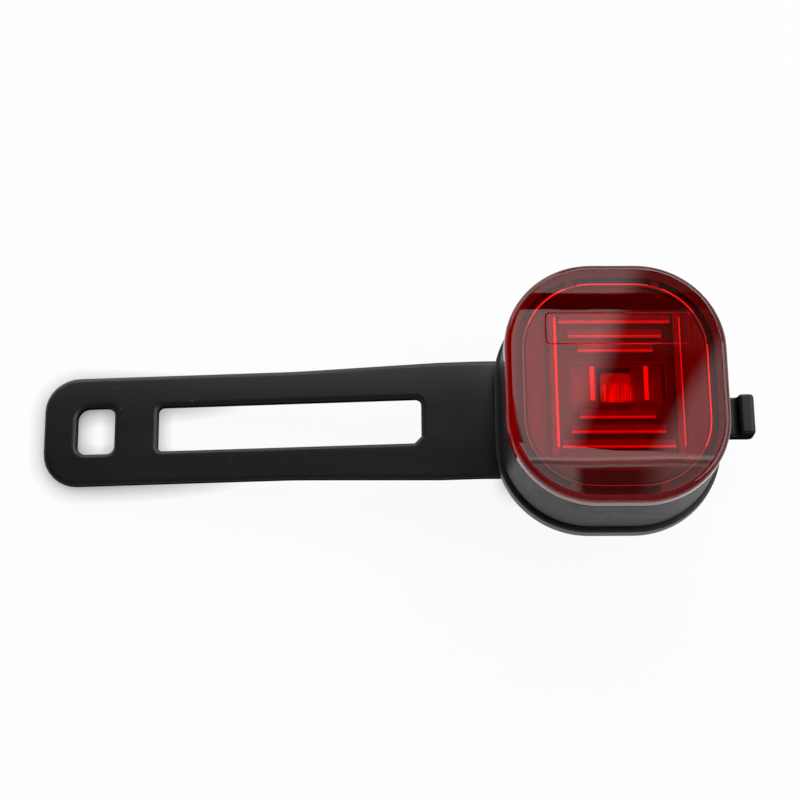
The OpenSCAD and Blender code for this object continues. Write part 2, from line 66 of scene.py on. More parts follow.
scene.view_settings.view_transform = "Standard"

# Sizes are in millimetres, and meshes are scaled to metres as they are made
MM = 0.001
ARC_STEPS = 8
CORNER_STEPS = 24


def box_mm(node):
    """Lowest and highest corner of a CAD node, in millimetres."""
    low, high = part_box(node)
    return low / MM, high / MM


# Camera of the photograph: angles in degrees, and its scale in pixels per millimetre at the target
VIEW_ELEVATION = 70.868
VIEW_AZIMUTH = -4.042
VIEW_ROLL = 3.628
VIEW_DISTANCE = 406.4
VIEW_TARGET = (-38.276, 3.497)
VIEW_SCALE = 5.353
PHOTO_PX = 800
SENSOR = 36.0

# Head: outline and levels from the frame, insets from its walls
LENS_LOW, LENS_HIGH = box_mm("lens")
SEAL_LOW, SEAL_HIGH = box_mm("rear_seal")
COVER_LOW, COVER_HIGH = box_mm("back_cover")
OPTIC_LOW, OPTIC_HIGH = box_mm("optic")
HEAD_W = LENS_HIGH.x - LENS_LOW.x
HEAD_H = LENS_HIGH.y - LENS_LOW.y
HEAD_R = 16.0
WALL = 1.8
FIT = 0.15
FACE_Z = LENS_HIGH.z
SPIGOT_Z = LENS_LOW.z
LENS_Z = FACE_Z - 3.2
INNER_Z = FACE_Z - 2.0
LEDGE_Z = SPIGOT_Z - 0.7
LEDGE_T = 0.8
SEAT_GAP = 0.03
HOUSE_Z = SEAL_HIGH.z
EDGE_Z = SEAL_LOW.z
COVER_Z = COVER_LOW.z
FLOOR_Z = COVER_Z + 2.0
BOARD_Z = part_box("circuit_board")[0].z / MM
SPIGOT_OUT = WALL + FIT
SPIGOT_IN = SPIGOT_OUT + 1.25
COVER_SPIGOT_IN = SPIGOT_OUT + 1.2
COVER_LIP = 0.8
SEAL_INSET = 0.4
SEAL_PLAY = 0.05

# Lens details
LENS_EDGE = 1.2
LENS_CHAMFER = 0.15
INNER_EDGE = 0.8
SLIT_X = 7.8
SLIT_W = 1.6
SLIT_DROP = 0.2
SLIT_CLEAR = 0.4
PLATE_SIZE = (26.6, 6.3)
PLATE_AT = (0.6, 9.9)
PLATE_R = 1.0
PLATE_LINE = 0.2
PLATE_DEPTH = 0.16
# Stretches and slope of the lens's inner fillet that carry a painted highlight
LIT_TOP = 13.5
LIT_RIGHT = 14.5
LIT_RIGHT_SPAN = (-12.0, 7.0)
LIT_SLOPE = (-0.8, -0.45)
LEFT_RIM_PAINTED_LIGHT = (-15.5, -17.5)

# Optic, and how deep a joined form sinks into what carries it
SINK = 0.1
OPTIC_TOP = OPTIC_LOW.z + 0.8
OPTIC_R = 1.2
OPTIC_EDGE = 0.2
BAR_COUNT = 3
BAR_START = 6.3
BAR_PITCH = 2.75
BAR_REACH = 6.75
BAR_GROWTH = 1.65
BAR_W = 1.4
BAR_LINE = 0.2
BAR_DROP = 0.05
BAR_CHAMFER = 0.15
WINDOW_MARK = (8.3, 3.7)
WINDOW_MARK_AT = (0.5, 0.4)
WINDOW_MARK_R = 0.1
WINDOW_LINE = 0.2
WINDOW_LINE_H = 0.12
RAIL_X = 11.2
RAIL_W = 1.3
RAIL_SHORT = 0.3
# Facets: thin strips on the rails and uprights that carry a painted highlight
RAIL_FACETS = (0.45, 0.24)
RAIL_LIT = (-11.9, 12.6)
UPRIGHTS = (-4.4, 5.25)
UPRIGHT_W = 0.9
UPRIGHT_H = 6.4
UPRIGHT_FACET = 0.8
FACET_T = 0.25

# Reflector, LED and charge indicator
WINDOW = (8.1, 4.5)
FUNNEL_T = 0.8
WING_X = 3.0
WING_DROP = 0.3
REFLECTOR_T = 1.2
REFLECTOR_PLAY = 0.3
# Where the reflector's painted light at the sides and painted shade at the ends start
REFLECTOR_SIDE = 12.6
REFLECTOR_END = 13.9
LED_SIZE = (5.4, 5.3)
LED_AT = (0.3, 0.6)
# LED_LIT: the span along Y over which the LED's painted streaks of light fade out
LED_LIT = (0.2, 1.6)
LED_BASE_T = 1.0
LED_EDGE = 0.15
LED_CORNER = 0.6
LED_DOME_R = 2.0
INDICATOR_X = 8.0

# Screws: the thread is given by its start, depth and rise, the cross by its reach, half width and depth
COVER_SCREW = (11.25, 13.65)
BRACKET_SCREW = (15.42, 6.5)
SCREW_HEAD_R = 1.8
SCREW_HEAD_T = 1.2
SCREW_R = 1.0
SCREW_EDGE = 0.45
SCREW_SHANK = 6.0
SCREW_CROSS = (1.15, 0.27, 0.65)
THREAD = (0.3, 0.15, 0.22)
THREAD_TURNS = 10
SCREW_RECESS_R = SCREW_HEAD_R + FIT
SCREW_HOLE_R = SCREW_R + 0.1
BRACKET_SEAT = 4.8
POST_R = 2.3
POST_EDGE = 0.2

# Saddle bracket and hook
BRACKET_LOW, BRACKET_HIGH = box_mm("mount_bracket")
SADDLE_X = 17.7
SADDLE_Y = BRACKET_HIGH.y
FOOT_Z = BRACKET_LOW.z
CHANNEL_R = 14.8
HOOK_HALF = 3.9
HOOK_T = 2.5
HOOK_IN = 24.8
PAD_IN = 13.6
PAD_OUT = 14.75
PAD_HALF_ANGLE = 60.0
GROOVES = 4
GROOVE_W = 1.2
GROOVE_D = 0.4
GROOVE_EDGE = 0.12

# Button and flap: the button's dish by inset and drop, the nail notch by radius and depth
BUTTON_LOW, BUTTON_HIGH = box_mm("power_button")
BUTTON_Z = (BUTTON_LOW.z + BUTTON_HIGH.z) / 2
BUTTON_W = 9.6
BUTTON_H = 4.6
BUTTON_FLANGE = 1.2
BUTTON_FLANGE_T = 0.9
BUTTON_EDGE = 0.5
BUTTON_DISH = ((0.35, 0.02), (0.6, 0.16), (1.0, 0.22))
FLAP_LOW, FLAP_HIGH = box_mm("usb_flap")
FLAP_T = 0.95
FLAP_RECESS = 1.0
FLAP_H = 6.6
FLAP_PLAY = 0.2
FLAP_CORNERS = (1.4, 0.2)
NOTCH = ((1.5, 0), (1.2, 0.45), (1.2, 2))
NOTCH_AT = (0.35, 0.3)
FLAP_Z = (FLAP_LOW.z + FLAP_HIGH.z) / 2
HINGE = (19.2, 5.6)
HINGE_R = 0.5
FLAP_ROOT_Y = HINGE[1] - 0.2
SOCKET_Y = -1.0
SOCKET_SIZE = (7.5, 2.6)
SOCKET_PLAY = 0.4
PLUG_INSET = 0.5
PLUG_R = 0.5
PLUG_SINK = 0.05

# Strap, measured from the cover's edge towards its end
# Slot and hole are given by start, end and half width, and rows by start, end and step
STRAP_T = 2.4
STRAP_X0 = -(HEAD_W / 2 + COVER_LIP)
STRAP_Z = COVER_Z - STRAP_T
STRAP_LEN = 84.8
STRAP_EDGE = 0.85
CROWN = 0.45
CROWN_LINES = (6.0, 7.4, 8.6, 9.6, 10.4)
TONGUE = -12.2
TONGUE_PLAY = 0.1
HALF_WIDTHS = ((TONGUE, 11.5), (10.0, 11.5), (37.0, 10.65), (STRAP_LEN, 10.65))
EDGE_STOPS = (TONGUE, 0, 7, 10, 14, 18, 22, 26, 30, 34, 38, 44, 50, 56, 62, 68, 74)
ROW_SPANS = ((-1.0, 13.4, 0.75), (13.4, 34.0, 2.3), (34.0, 66.0, 1.05), (66.0, 84.0, 1.5))
TIP_R = 6.5
SLOT = (13.4, 63.1, 4.4)
SLOT_CUT = 1.3
HOLE = (71.4, 78.5, 4.6)
BENDS = (2.0, 6.5, 11.0, 37.5, 45.9, 54.3, 62.7)
BEND_REACH = (2.0, 2.2, 2.2, 4.15, 4.15, 4.15, 4.15)
TIP_GAP = 0.1
DROOP = math.asin((STRAP_Z - FOOT_Z - TIP_GAP) / (STRAP_LEN - BENDS[0]))


# Sockets in arithmetic


class Wire:
    """A node socket that takes part in arithmetic: an expression on it adds its Math nodes."""

    def __init__(self, tree, socket=None, material=None):
        self.tree = tree
        self.socket = socket
        self.material = material

    def node(self, kind, settings=None, sockets=None, out=0):
        """Adds any node: its settings first, then the values or links of its sockets."""
        made = self.tree.nodes.new(kind)
        for name, value in (settings or {}).items():
            if name == "stops":
                set_stops(made.color_ramp, value)
            else:
                setattr(made, name, value)
        for name, value in (sockets or {}).items():
            if isinstance(value, Wire):
                self.tree.links.new(value.socket, made.inputs[name])
            else:
                made.inputs[name].default_value = value
        return Wire(self.tree, made.outputs[out] if made.outputs else None)

    def maths(self, operation, *values):
        """Adds a Math node on these values."""
        return self.node("ShaderNodeMath", {"operation": operation}, dict(enumerate(values)))

    def __add__(self, other):
        return self.maths("ADD", self, other)

    def __radd__(self, other):
        return self.maths("ADD", other, self)

    def __sub__(self, other):
        return self.maths("SUBTRACT", self, other)

    def __rsub__(self, other):
        return self.maths("SUBTRACT", other, self)

    def __mul__(self, other):
        return self.maths("MULTIPLY", self, other)

    def __rmul__(self, other):
        return self.maths("MULTIPLY", other, self)

    def __gt__(self, other):
        return self.maths("GREATER_THAN", self, other)


def set_stops(ramp, stops):
    """Gives a colour ramp these (position, grey) stops."""
    while len(ramp.elements) > 1:
        ramp.elements.remove(ramp.elements[-1])
    for i, (position, grey) in enumerate(stops):
        element = ramp.elements[0] if i == 0 else ramp.elements.new(position)
        element.position = position
        element.color = (grey, grey, grey, 1)


# Materials


def grey(value):
    """A colour of equal red, green and blue."""
    return (value, value, value, 1)


def tint(colour, amount):
    """A colour made lighter or darker."""
    return tuple(c * amount for c in colour[:3]) + (1,)


def new_material(name):
    """An empty node material's wire, and the object coordinates that its patterns read."""
    material = bpy.data.materials.new(name)
    material.use_nodes = True
    material.node_tree.nodes.clear()
    net = Wire(material.node_tree, material=material)
    return net, net.node("ShaderNodeTexCoord", out="Object")


def axis(place, i):
    """One of a place's three numbers, in millimetres."""
    return place.node("ShaderNodeSeparateXYZ", {}, {0: place}, i) * (1 / MM)


def noise(place, size, detail=2.0, stretch=None):
    """Noise from 0 to 1 with features about size millimetres long, stretched along an axis if given."""
    if stretch:
        place = place.node("ShaderNodeMapping", {}, {"Vector": place, "Scale": stretch})
    sockets = {"Vector": place, "Scale": 1 / (size * MM), "Detail": detail}
    return place.node("ShaderNodeTexNoise", {}, sockets, "Fac")


def ramp(value, *stops):
    """A value spread over (position, grey) stops."""
    return value.node("ShaderNodeValToRGB", {"stops": stops}, {"Fac": value}, "Color")


def step_between(value, low, high):
    """0 below low and 1 above high, with a smooth step between."""
    settings = {"interpolation_type": "SMOOTHSTEP"}
    return value.node("ShaderNodeMapRange", settings, {"Value": value, "From Min": low, "From Max": high})


def mix_colour(factor, first, second):
    """A colour between two, by a factor from 0 to 1."""
    return factor.node("ShaderNodeMix", {"data_type": "RGBA"}, {0: factor, 6: first, 7: second}, 2)


def bump(height, strength, depth):
    """A surface normal from a height of 0 to 1 that stands depth millimetres tall."""
    return height.node("ShaderNodeBump", {}, {"Strength": strength, "Distance": depth * MM, "Height": height})


def principled(net, sockets):
    """A principled shader with these sockets."""
    return net.node("ShaderNodeBsdfPrincipled", {}, sockets)


def mix_shader(factor, first, second):
    """A shader between two, by a factor from 0 to 1."""
    return factor.node("ShaderNodeMixShader", {}, {0: factor, 1: first, 2: second})


def surface(net, shader):
    """Ends a material's network with this shader, and gives the material."""
    net.node("ShaderNodeOutputMaterial", {}, {"Surface": shader})
    return net.material


def coat(net, sockets):
    """A material of one principled shader."""
    return surface(net, principled(net, sockets))


# How far a face looks up where a matt side ends and where a satin top starts
UPRIGHT_TO_LEVEL = (0.2, 0.75)


def matt_sides(net, satin, colour, relief):
    """Keeps a satin finish on faces that look up or down, and makes the upright ones dull."""
    matt = principled(net, {
        "Base Color": colour,
        "Roughness": 0.85,
        "Specular IOR Level": 0.01,
        "Normal": relief,
    })
    facing = net.node("ShaderNodeTexCoord", out="Normal")
    upward = net.node("ShaderNodeSeparateXYZ", {}, {0: facing}, 2)
    return mix_shader(step_between(net.maths("ABSOLUTE", upward), *UPRIGHT_TO_LEVEL), matt, satin)


def moulded_plastic(name, tone, roughness, gloss, dull_sides=False):
    """Black moulded plastic with a fine spark-eroded grain and faintly rubbed patches."""
    net, place = new_material(name)
    cloud = noise(place, 7.0)
    rubbed = noise(place, 1.8, 3.0)
    colour = mix_colour(cloud, tint(tone, 0.8), tint(tone, 1.2))
    relief = bump(noise(place, 0.22, 3.0), 0.35, 0.02)
    satin = principled(net, {
        "Base Color": colour,
        "Roughness": roughness - 0.08 + rubbed * 0.16,
        "Specular IOR Level": gloss,
        "Normal": relief,
    })
    return surface(net, matt_sides(net, satin, colour, relief) if dull_sides else satin)


def soft_rubber(name, tone, roughness=0.62):
    """Black rubber with a dull skin and a trace of dust."""
    net, place = new_material(name)
    cloud = noise(place, 5.0)
    skin = noise(place, 0.35, 4.0)
    return coat(net, {
        "Base Color": mix_colour(cloud, tint(tone, 0.75), tint(tone, 1.25)),
        "Roughness": roughness - 0.06 + skin * 0.12,
        "Specular IOR Level": 0.35,
        "Normal": bump(skin, 0.3, 0.02),
    })


def strap_silicone():
    """Silicone: a satin top with soft streaks and scattered pale dust, and matt black sides."""
    net, place = new_material("strap_silicone")
    streak = noise(place, 5.0, 3.0, (0.25, 1.0, 1.0))
    skin = noise(place, 0.28, 4.0)
    specks = ramp(noise(place, 0.55, 1.0), (0.745, 0.0), (0.79, 1.0))
    patches = ramp(noise(place, 11.0, 2.0), (0.45, 0.0), (0.62, 1.0))
    body = mix_colour(streak, (0.0042, 0.0042, 0.0045, 1), (0.008, 0.0078, 0.008, 1))
    dusty = mix_colour(specks * patches * 0.5, body, grey(0.22))
    relief = bump(skin, 0.3, 0.02)
    satin = principled(net, {
        "Base Color": dusty,
        "Roughness": 0.33 + streak * 0.08 + specks * 0.1,
        "Specular IOR Level": 0.5,
        "Normal": relief,
    })
    return surface(net, matt_sides(net, satin, body, relief))


LENS_TINT = (0.93, 0.018, 0.012, 1)


def clear_red_lens():
    """Clear red plastic that lets red light through to the optic."""
    net, place = new_material("lens_red")
    flow = noise(place, 16.0, 1.0)
    haze = noise(place, 0.6, 3.0)
    glass = principled(net, {
        "Base Color": mix_colour(flow, LENS_TINT, tint(LENS_TINT, 0.86)),
        "Roughness": 0.002 + haze * 0.012,
        "IOR": 1.49,
        "Transmission Weight": 1.0,
        "Normal": bump(flow, 0.05, 0.3),
    })
    passed = net.node("ShaderNodeBsdfTransparent", {}, {"Color": (0.95, 0.1, 0.08, 1)})
    return surface(net, mix_shader(net.node("ShaderNodeLightPath", out="Is Shadow Ray"), glass, passed))


def lens_seat_red():
    """Frosted red of the faces that the lens sits on, which show through it round its rim, with a painted
    lighter red at the left end.
    """
    net, place = new_material("lens_seat")
    x = axis(place, 0)
    flow = noise(place, 5.0)
    grain = noise(place, 0.3, 2.0)
    red = mix_colour(flow, (0.055, 0.0045, 0.004, 1), (0.09, 0.008, 0.007, 1))
    return coat(net, {
        # Lighter red towards the left end: painted light on the rim
        "Base Color": mix_colour(step_between(x, *LEFT_RIM_PAINTED_LIGHT), red, (0.16, 0.005, 0.006, 1)),
        "Roughness": 0.5 + grain * 0.15,
        "Normal": bump(grain, 0.2, 0.02),
    })


def inside(value, half, soft):
    """1 where a distance from the middle is less than half, with a soft edge."""
    return 1 - step_between(value.maths("ABSOLUTE", value), half - soft, half + soft)


def optic_red(name, dark, light, share):
    """The optic's red in tones given by the caller, its own on the plate and a painted lighter one on the
    raised parts: a body colour that is partly clear, and clearer over the LED's window.
    """
    net, place = new_material(name)
    x, y = axis(place, 0), axis(place, 1)
    flow = noise(place, 4.0)
    body = principled(net, {
        "Base Color": mix_colour(flow, dark, light),
        "Roughness": 0.16 + flow * 0.1,
        "IOR": 1.49,
    })
    clear = net.node("ShaderNodeBsdfTransparent", {}, {"Color": (0.9, 0.12, 0.1, 1)})
    (wide, tall), (mid_x, mid_y) = WINDOW_MARK, WINDOW_MARK_AT
    window = inside(x - mid_x, wide, 0.1) * inside(y - mid_y, tall, 0.1)
    return surface(net, mix_shader(share - 0.05 + flow * 0.1 - window * 0.4, clear, body))


def prism_bright():
    """The prism facets' painted highlight: a bright red that also glows, standing in for the light they throw
    back.
    """
    net, place = new_material("prism_bright")
    flow = noise(place, 1.6, 2.0)
    return coat(net, {
        "Base Color": mix_colour(flow, (0.75, 0.05, 0.045, 1), (1.0, 0.17, 0.15, 1)),
        "Roughness": 0.25 + flow * 0.1,
        # Emission: a painted glow, these facets are no lamp
        "Emission Color": mix_colour(flow, (0.6, 0.02, 0.015, 1), (0.9, 0.12, 0.1, 1)),
        "Emission Strength": 0.5,
    })


def reflector_grey():
    """Satin grey plastic with painted light and shade: paler in the window and in streaks beside the optic,
    and darker at both ends.
    """
    net, place = new_material("reflector_grey")
    x, y = axis(place, 0), axis(place, 1)
    cloud = noise(place, 6.0)
    fine = noise(place, 0.3, 3.0)
    streaks = noise(place, 1.1, 2.0, (1.0, 0.05, 1.0))
    # Painted light: the paler sides and window; painted shade: the darker ends
    sides = 1 - inside(x, REFLECTOR_SIDE, 0.5)
    ends = 1 - inside(y, REFLECTOR_END, 0.5)
    window = inside(x, WINDOW[0] + 0.1, 0.1) * inside(y, WINDOW[1] + 0.1, 0.1)
    tone = 0.3 + cloud * 0.2 + sides * (streaks * 0.6 - 0.1) - ends * 0.45
    frame_tone = mix_colour(tone, grey(0.018), grey(0.18))
    return coat(net, {
        "Base Color": mix_colour(window, frame_tone, grey(0.6)),
        "Roughness": 0.36 + fine * 0.1,
        "Normal": bump(fine, 0.2, 0.015),
    })


def led_red():
    """Clear red LED body that glows with painted light, brightest in painted upright streaks in its lower
    half.
    """
    net, place = new_material("led_red")
    y = axis(place, 1)
    streaks = ramp(noise(place, 0.5, 1.0, (1.0, 0.05, 0.05)), (0.42, 0.0), (0.66, 1.0))
    lower = 1 - step_between(y, *LED_LIT)
    lit = lower * (0.1 + streaks * 0.9)
    return coat(net, {
        "Base Color": mix_colour(lit, (0.3, 0.006, 0.005, 1), (0.95, 0.04, 0.03, 1)),
        "Roughness": 0.2 + streaks * 0.1,
        # Emission: a painted glow, the LED is not shown switched on
        "Emission Color": mix_colour(lit, (0.25, 0.0, 0.0, 1), (1.0, 0.02, 0.015, 1)),
        "Emission Strength": 2.0,
    })


def circuit_green():
    """Green solder mask over copper tracks, with a fine weave."""
    net, place = new_material("board_green")
    tracks = ramp(noise(place, 1.6, 0.0, (1.0, 0.35, 1.0)), (0.5, 0.0), (0.52, 1.0))
    weave = noise(place, 0.25, 2.0)
    return coat(net, {
        "Base Color": mix_colour(tracks, (0.006, 0.075, 0.028, 1), (0.014, 0.14, 0.05, 1)),
        "Roughness": 0.3 + weave * 0.12,
        "Normal": bump(tracks, 0.4, 0.035),
    })


def chip_black():
    """Black epoxy bodies, with a green cap on the charge indicator."""
    net, place = new_material("chip_black")
    x = axis(place, 0)
    fine = noise(place, 0.2, 3.0)
    body = mix_colour(fine, grey(0.012), grey(0.028))
    return coat(net, {
        "Base Color": mix_colour(x > INDICATOR_X, body, (0.3, 0.7, 0.22, 1)),
        "Roughness": 0.45 + fine * 0.15,
        "Normal": bump(fine, 0.3, 0.02),
    })


def bright_metal(name, colour, roughness, direction):
    """Metal with fine marks drawn along one direction."""
    net, place = new_material(name)
    marks = noise(place, 0.3, 4.0, direction)
    return coat(net, {
        "Base Color": mix_colour(marks, tint(colour, 0.82), colour),
        "Metallic": 1.0,
        "Roughness": roughness - 0.06 + marks * 0.14,
        "Normal": bump(marks, 0.15, 0.01),
    })


def cell_foil():
    """Pouch foil of the cell: dull silver with soft creases."""
    net, place = new_material("cell_foil")
    crease = noise(place, 3.0, 4.0)
    return coat(net, {
        "Base Color": mix_colour(crease, grey(0.5), grey(0.72)),
        "Metallic": 0.85,
        "Roughness": 0.3 + crease * 0.15,
        "Normal": bump(crease, 0.35, 0.15),
    })


def foam_grey():
    """Open-cell foam tape."""
    net, place = new_material("foam_grey")
    cells = net.node("ShaderNodeTexVoronoi", {}, {"Vector": place, "Scale": 1 / (0.35 * MM)}, "Distance")
    return coat(net, {
        "Base Color": mix_colour(cells, grey(0.02), grey(0.06)),
        "Roughness": 0.95,
        "Normal": bump(cells, 0.6, 0.12),
    })


def lead_sheath():
    """Red sheath on the lead at +X, black on the other."""
    net, place = new_material("lead_sheath")
    x = axis(place, 0)
    fine = noise(place, 0.5)
    side = mix_colour(x > 0.0, grey(0.012), (0.42, 0.015, 0.012, 1))
    return coat(net, {
        "Base Color": mix_colour(fine * 0.25, side, grey(0.03)),
        "Roughness": 0.38 + fine * 0.12,
        "Normal": bump(fine, 0.1, 0.02),
    })


# Meshes


def arc(across, z, radius, start, end, steps=ARC_STEPS):
    """Points of an arc in a profile, with its angles in degrees."""
    turns = [math.radians(start + (end - start) * i / steps) for i in range(steps + 1)]
    return [(across + radius * math.cos(t), z + radius * math.sin(t)) for t in turns]


def outline(corners):
    """A closed outline through (x, y, radius) corners, each rounded by an arc of its own."""
    points = []
    for i, (x, y, radius) in enumerate(corners):
        here = Vector((x, y))
        if radius == 0:
            points.append(here)
            continue
        before = (Vector(corners[i - 1][:2]) - here).normalized()
        after = (Vector(corners[(i + 1) % len(corners)][:2]) - here).normalized()
        half = before.angle(after) / 2
        centre = here + (before + after).normalized() * (radius / math.sin(half))
        first = before * (radius / math.tan(half)) + here - centre
        last = after * (radius / math.tan(half)) + here - centre
        start = math.atan2(first.y, first.x)
        sweep = (math.atan2(last.y, last.x) - start + math.pi) % (2 * math.pi) - math.pi
        for k in range(ARC_STEPS + 1):
            turn = start + sweep * k / ARC_STEPS
            points.append(centre + Vector((math.cos(turn), math.sin(turn))) * radius)
    return points


def ring(width, height, radius, z, steps=CORNER_STEPS):
    """A rounded rectangle at a level, with the same number of points at any size."""
    points = []
    for quarter, (sx, sy) in enumerate(((1, 1), (-1, 1), (-1, -1), (1, -1))):
        centre = Vector((sx * (width / 2 - radius), sy * (height / 2 - radius), z))
        for i in range(steps + 1):
            turn = math.radians(90 * (quarter + i / steps))
            points.append(centre + Vector((math.cos(turn), math.sin(turn), 0)) * radius)
    return points


def inset_rings(width, height, radius, profile, steps=CORNER_STEPS):
    """A rounded rectangle at each (inset, level) of a profile."""
    return [ring(width - 2 * i, height - 2 * i, radius - i, z, steps) for i, z in profile]


def head_rings(profile):
    """The head's outline at each (inset, level) of a profile."""
    return inset_rings(HEAD_W, HEAD_H, HEAD_R, profile)


def slab_side(inset, low, high, edge):
    """The profile of a slab's side between two levels, with its edges cut."""
    return [(inset + edge, low), (inset, low + edge), (inset, high - edge), (inset + edge, high)]


def loft(rings, closed=False):
    """A skin through rings of equal count, capped at its ends or closed from the last to the first."""
    bm = bmesh.new()
    rows = [[bm.verts.new(p) for p in points] for points in rings]
    pairs = list(zip(rows, rows[1:]))
    if closed:
        pairs.append((rows[-1], rows[0]))
    for low, high in pairs:
        for i in range(len(low)):
            j = (i + 1) % len(low)
            bm.faces.new((low[i], low[j], high[j], high[i]))
    if not closed:
        bm.faces.new(rows[0][::-1])
        bm.faces.new(rows[-1])
    bmesh.ops.recalc_face_normals(bm, faces=bm.faces)
    return bm


PLACES = {
    "X": lambda a, b, t: Vector((t, a, b)),
    "Y": lambda a, b, t: Vector((a, t, b)),
    "Z": lambda a, b, t: Vector((a, b, t)),
}


def prism(points, way, start, end):
    """An outline drawn out along X, Y or Z, with flat ends."""
    place = PLACES[way]
    return loft([[place(p[0], p[1], t) for p in points] for t in (start, end)])


def rectangle(low, high):
    """The four corners of a rectangle, from its lowest and highest."""
    return [(low[0], low[1]), (high[0], low[1]), (high[0], high[1]), (low[0], high[1])]


def block(low, high):
    """A box between two corners."""
    return prism(rectangle(low, high), "Z", low[2], high[2])


def lathe(profile, centre=(0, 0), steps=32):
    """A turned shape about an upright axis, from (radius, level) points."""
    turns = [2 * math.pi * i / steps for i in range(steps)]
    x, y = centre
    return loft([[Vector((x + r * math.cos(t), y + r * math.sin(t), z)) for t in turns] for r, z in profile])


def at_corners(half, *profiles, steps=32):
    """Turned shapes at the four corners of a rectangle that lies about the middle."""
    corners = [(sx * half[0], sy * half[1]) for sx in (-1, 1) for sy in (-1, 1)]
    return [lathe(profile, corner, steps) for corner in corners for profile in profiles]


def moved(bm, place):
    """A mesh shifted level to a place."""
    bmesh.ops.translate(bm, vec=(*place, 0), verts=bm.verts)
    return bm


def new_piece(name, *parts):
    """An object from one or more meshes drawn in millimetres."""
    whole = bmesh.new()
    for bm in parts:
        mesh = bpy.data.meshes.new("part")
        bm.to_mesh(mesh)
        bm.free()
        whole.from_mesh(mesh)
        bpy.data.meshes.remove(mesh)
    bmesh.ops.scale(whole, vec=(MM, MM, MM), verts=whole.verts)
    mesh = bpy.data.meshes.new(name)
    whole.to_mesh(mesh)
    whole.free()
    piece = bpy.data.objects.new(name, mesh)
    scene.collection.objects.link(piece)
    return piece


def bake(piece):
    """Turns a piece's modifiers into its plain mesh."""
    bpy.context.view_layer.update()
    graph = bpy.context.evaluated_depsgraph_get()
    made = bpy.data.meshes.new_from_object(piece.evaluated_get(graph), depsgraph=graph)
    piece.modifiers.clear()
    old = piece.data
    piece.data = made
    bpy.data.meshes.remove(old)
    made.name = piece.name


def combine(piece, operation, *parts):
    """Cuts meshes or objects out of a piece (DIFFERENCE) or joins them to it (UNION)."""
    tools = [p if isinstance(p, bpy.types.Object) else new_piece("tool", p) for p in parts]
    for tool in tools:
        modifier = piece.modifiers.new("combine", "BOOLEAN")
        modifier.operation = operation
        modifier.solver = "EXACT"
        modifier.object = tool
    bake(piece)
    for tool in tools:
        bpy.data.objects.remove(tool)


def join_parts(piece, *parts):
    """Adds meshes drawn in millimetres to a piece as further shells."""
    extra = new_piece("extra", *parts)
    bm = bmesh.new()
    bm.from_mesh(piece.data)
    bm.from_mesh(extra.data)
    bm.to_mesh(piece.data)
    bm.free()
    bpy.data.objects.remove(extra)


def round_edges(piece, width, segments=3, angle=40):
    """Rounds a piece's sharp edges."""
    modifier = piece.modifiers.new("round", "BEVEL")
    modifier.width = width * MM
    modifier.segments = segments
    modifier.limit_method = "ANGLE"
    modifier.angle_limit = math.radians(angle)
    bake(piece)


def smooth(piece, angle=32):
    """Smooth shading, with folds sharper than the angle kept crisp and flat faces kept flat."""
    bm = bmesh.new()
    bm.from_mesh(piece.data)
    for face in bm.faces:
        face.smooth = True
    for edge in bm.edges:
        edge.smooth = edge.is_manifold and edge.calc_face_angle(0) < math.radians(angle)
    bm.to_mesh(piece.data)
    bm.free()
    modifier = piece.modifiers.new("flat_faces", "WEIGHTED_NORMAL")
    modifier.keep_sharp = True
    return piece


def paint(piece, material):
    """Gives a piece one material."""
    piece.data.materials.clear()
    piece.data.materials.append(material)


def place_piece(piece, material, slot, *nodes, body="head"):
    """Finishes a rigid piece: shading, material, body and hiding the CAD nodes that it stands for; the slot
    is not used.
    """
    paint(smooth(piece), material)
    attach(piece, body)
    if nodes:
        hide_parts(*nodes)


# Geometry trees for what repeats


def new_tree(name, inputs):
    """An empty geometry tree with named inputs, its wire and its inputs' wires."""
    tree = bpy.data.node_groups.new(name, "GeometryNodeTree")
    for label, kind in inputs.items():
        tree.interface.new_socket(label, in_out="INPUT", socket_type="NodeSocket" + kind)
    tree.interface.new_socket("Geometry", in_out="OUTPUT", socket_type="NodeSocketGeometry")
    start = tree.nodes.new("NodeGroupInput")
    return tree, Wire(tree), {label: Wire(tree, start.outputs[label]) for label in inputs}


def copies_at(net, count, place, template, material, size=(1, 1, 1)):
    """Copies of a template object at places worked out from each copy's index, as the tree's result."""
    line = net.node("GeometryNodeMeshLine", {}, {"Count": count})
    points = net.node("GeometryNodeSetPosition", {}, {"Geometry": line, "Position": place})
    shape = net.node("GeometryNodeObjectInfo", {}, {"Object": template}, "Geometry")
    sockets = {"Points": points, "Instance": shape, "Scale": size}
    copies = net.node("GeometryNodeInstanceOnPoints", {}, sockets)
    solid = net.node("GeometryNodeRealizeInstances", {}, {"Geometry": copies})
    done = net.node("GeometryNodeSetMaterial", {}, {"Geometry": solid, "Material": material})
    net.node("NodeGroupOutput", {}, {"Geometry": done})


def bar_tree():
    """Rows of prism bars on both sides of the middle, each row longer than the last."""
    tree, net, get = new_tree("prism_bars", {
        "Bar": "Object", "Rows": "Int", "Start": "Float", "Pitch": "Float",
        "Reach": "Float", "Growth": "Float", "Material": "Material",
    })
    index = net.node("GeometryNodeInputIndex")
    row = net.maths("FLOOR", index * 0.5)
    side = (index - row * 2) * 2 - 1
    away = side * (get["Start"] + row * get["Pitch"])
    place = net.node("ShaderNodeCombineXYZ", {}, {"Y": away})
    length = (get["Reach"] + row * get["Growth"]) * 2
    size = net.node("ShaderNodeCombineXYZ", {}, {"X": length, "Y": 1.0, "Z": 1.0})
    copies_at(net, get["Rows"] * 2, place, get["Bar"], get["Material"], size)
    return tree


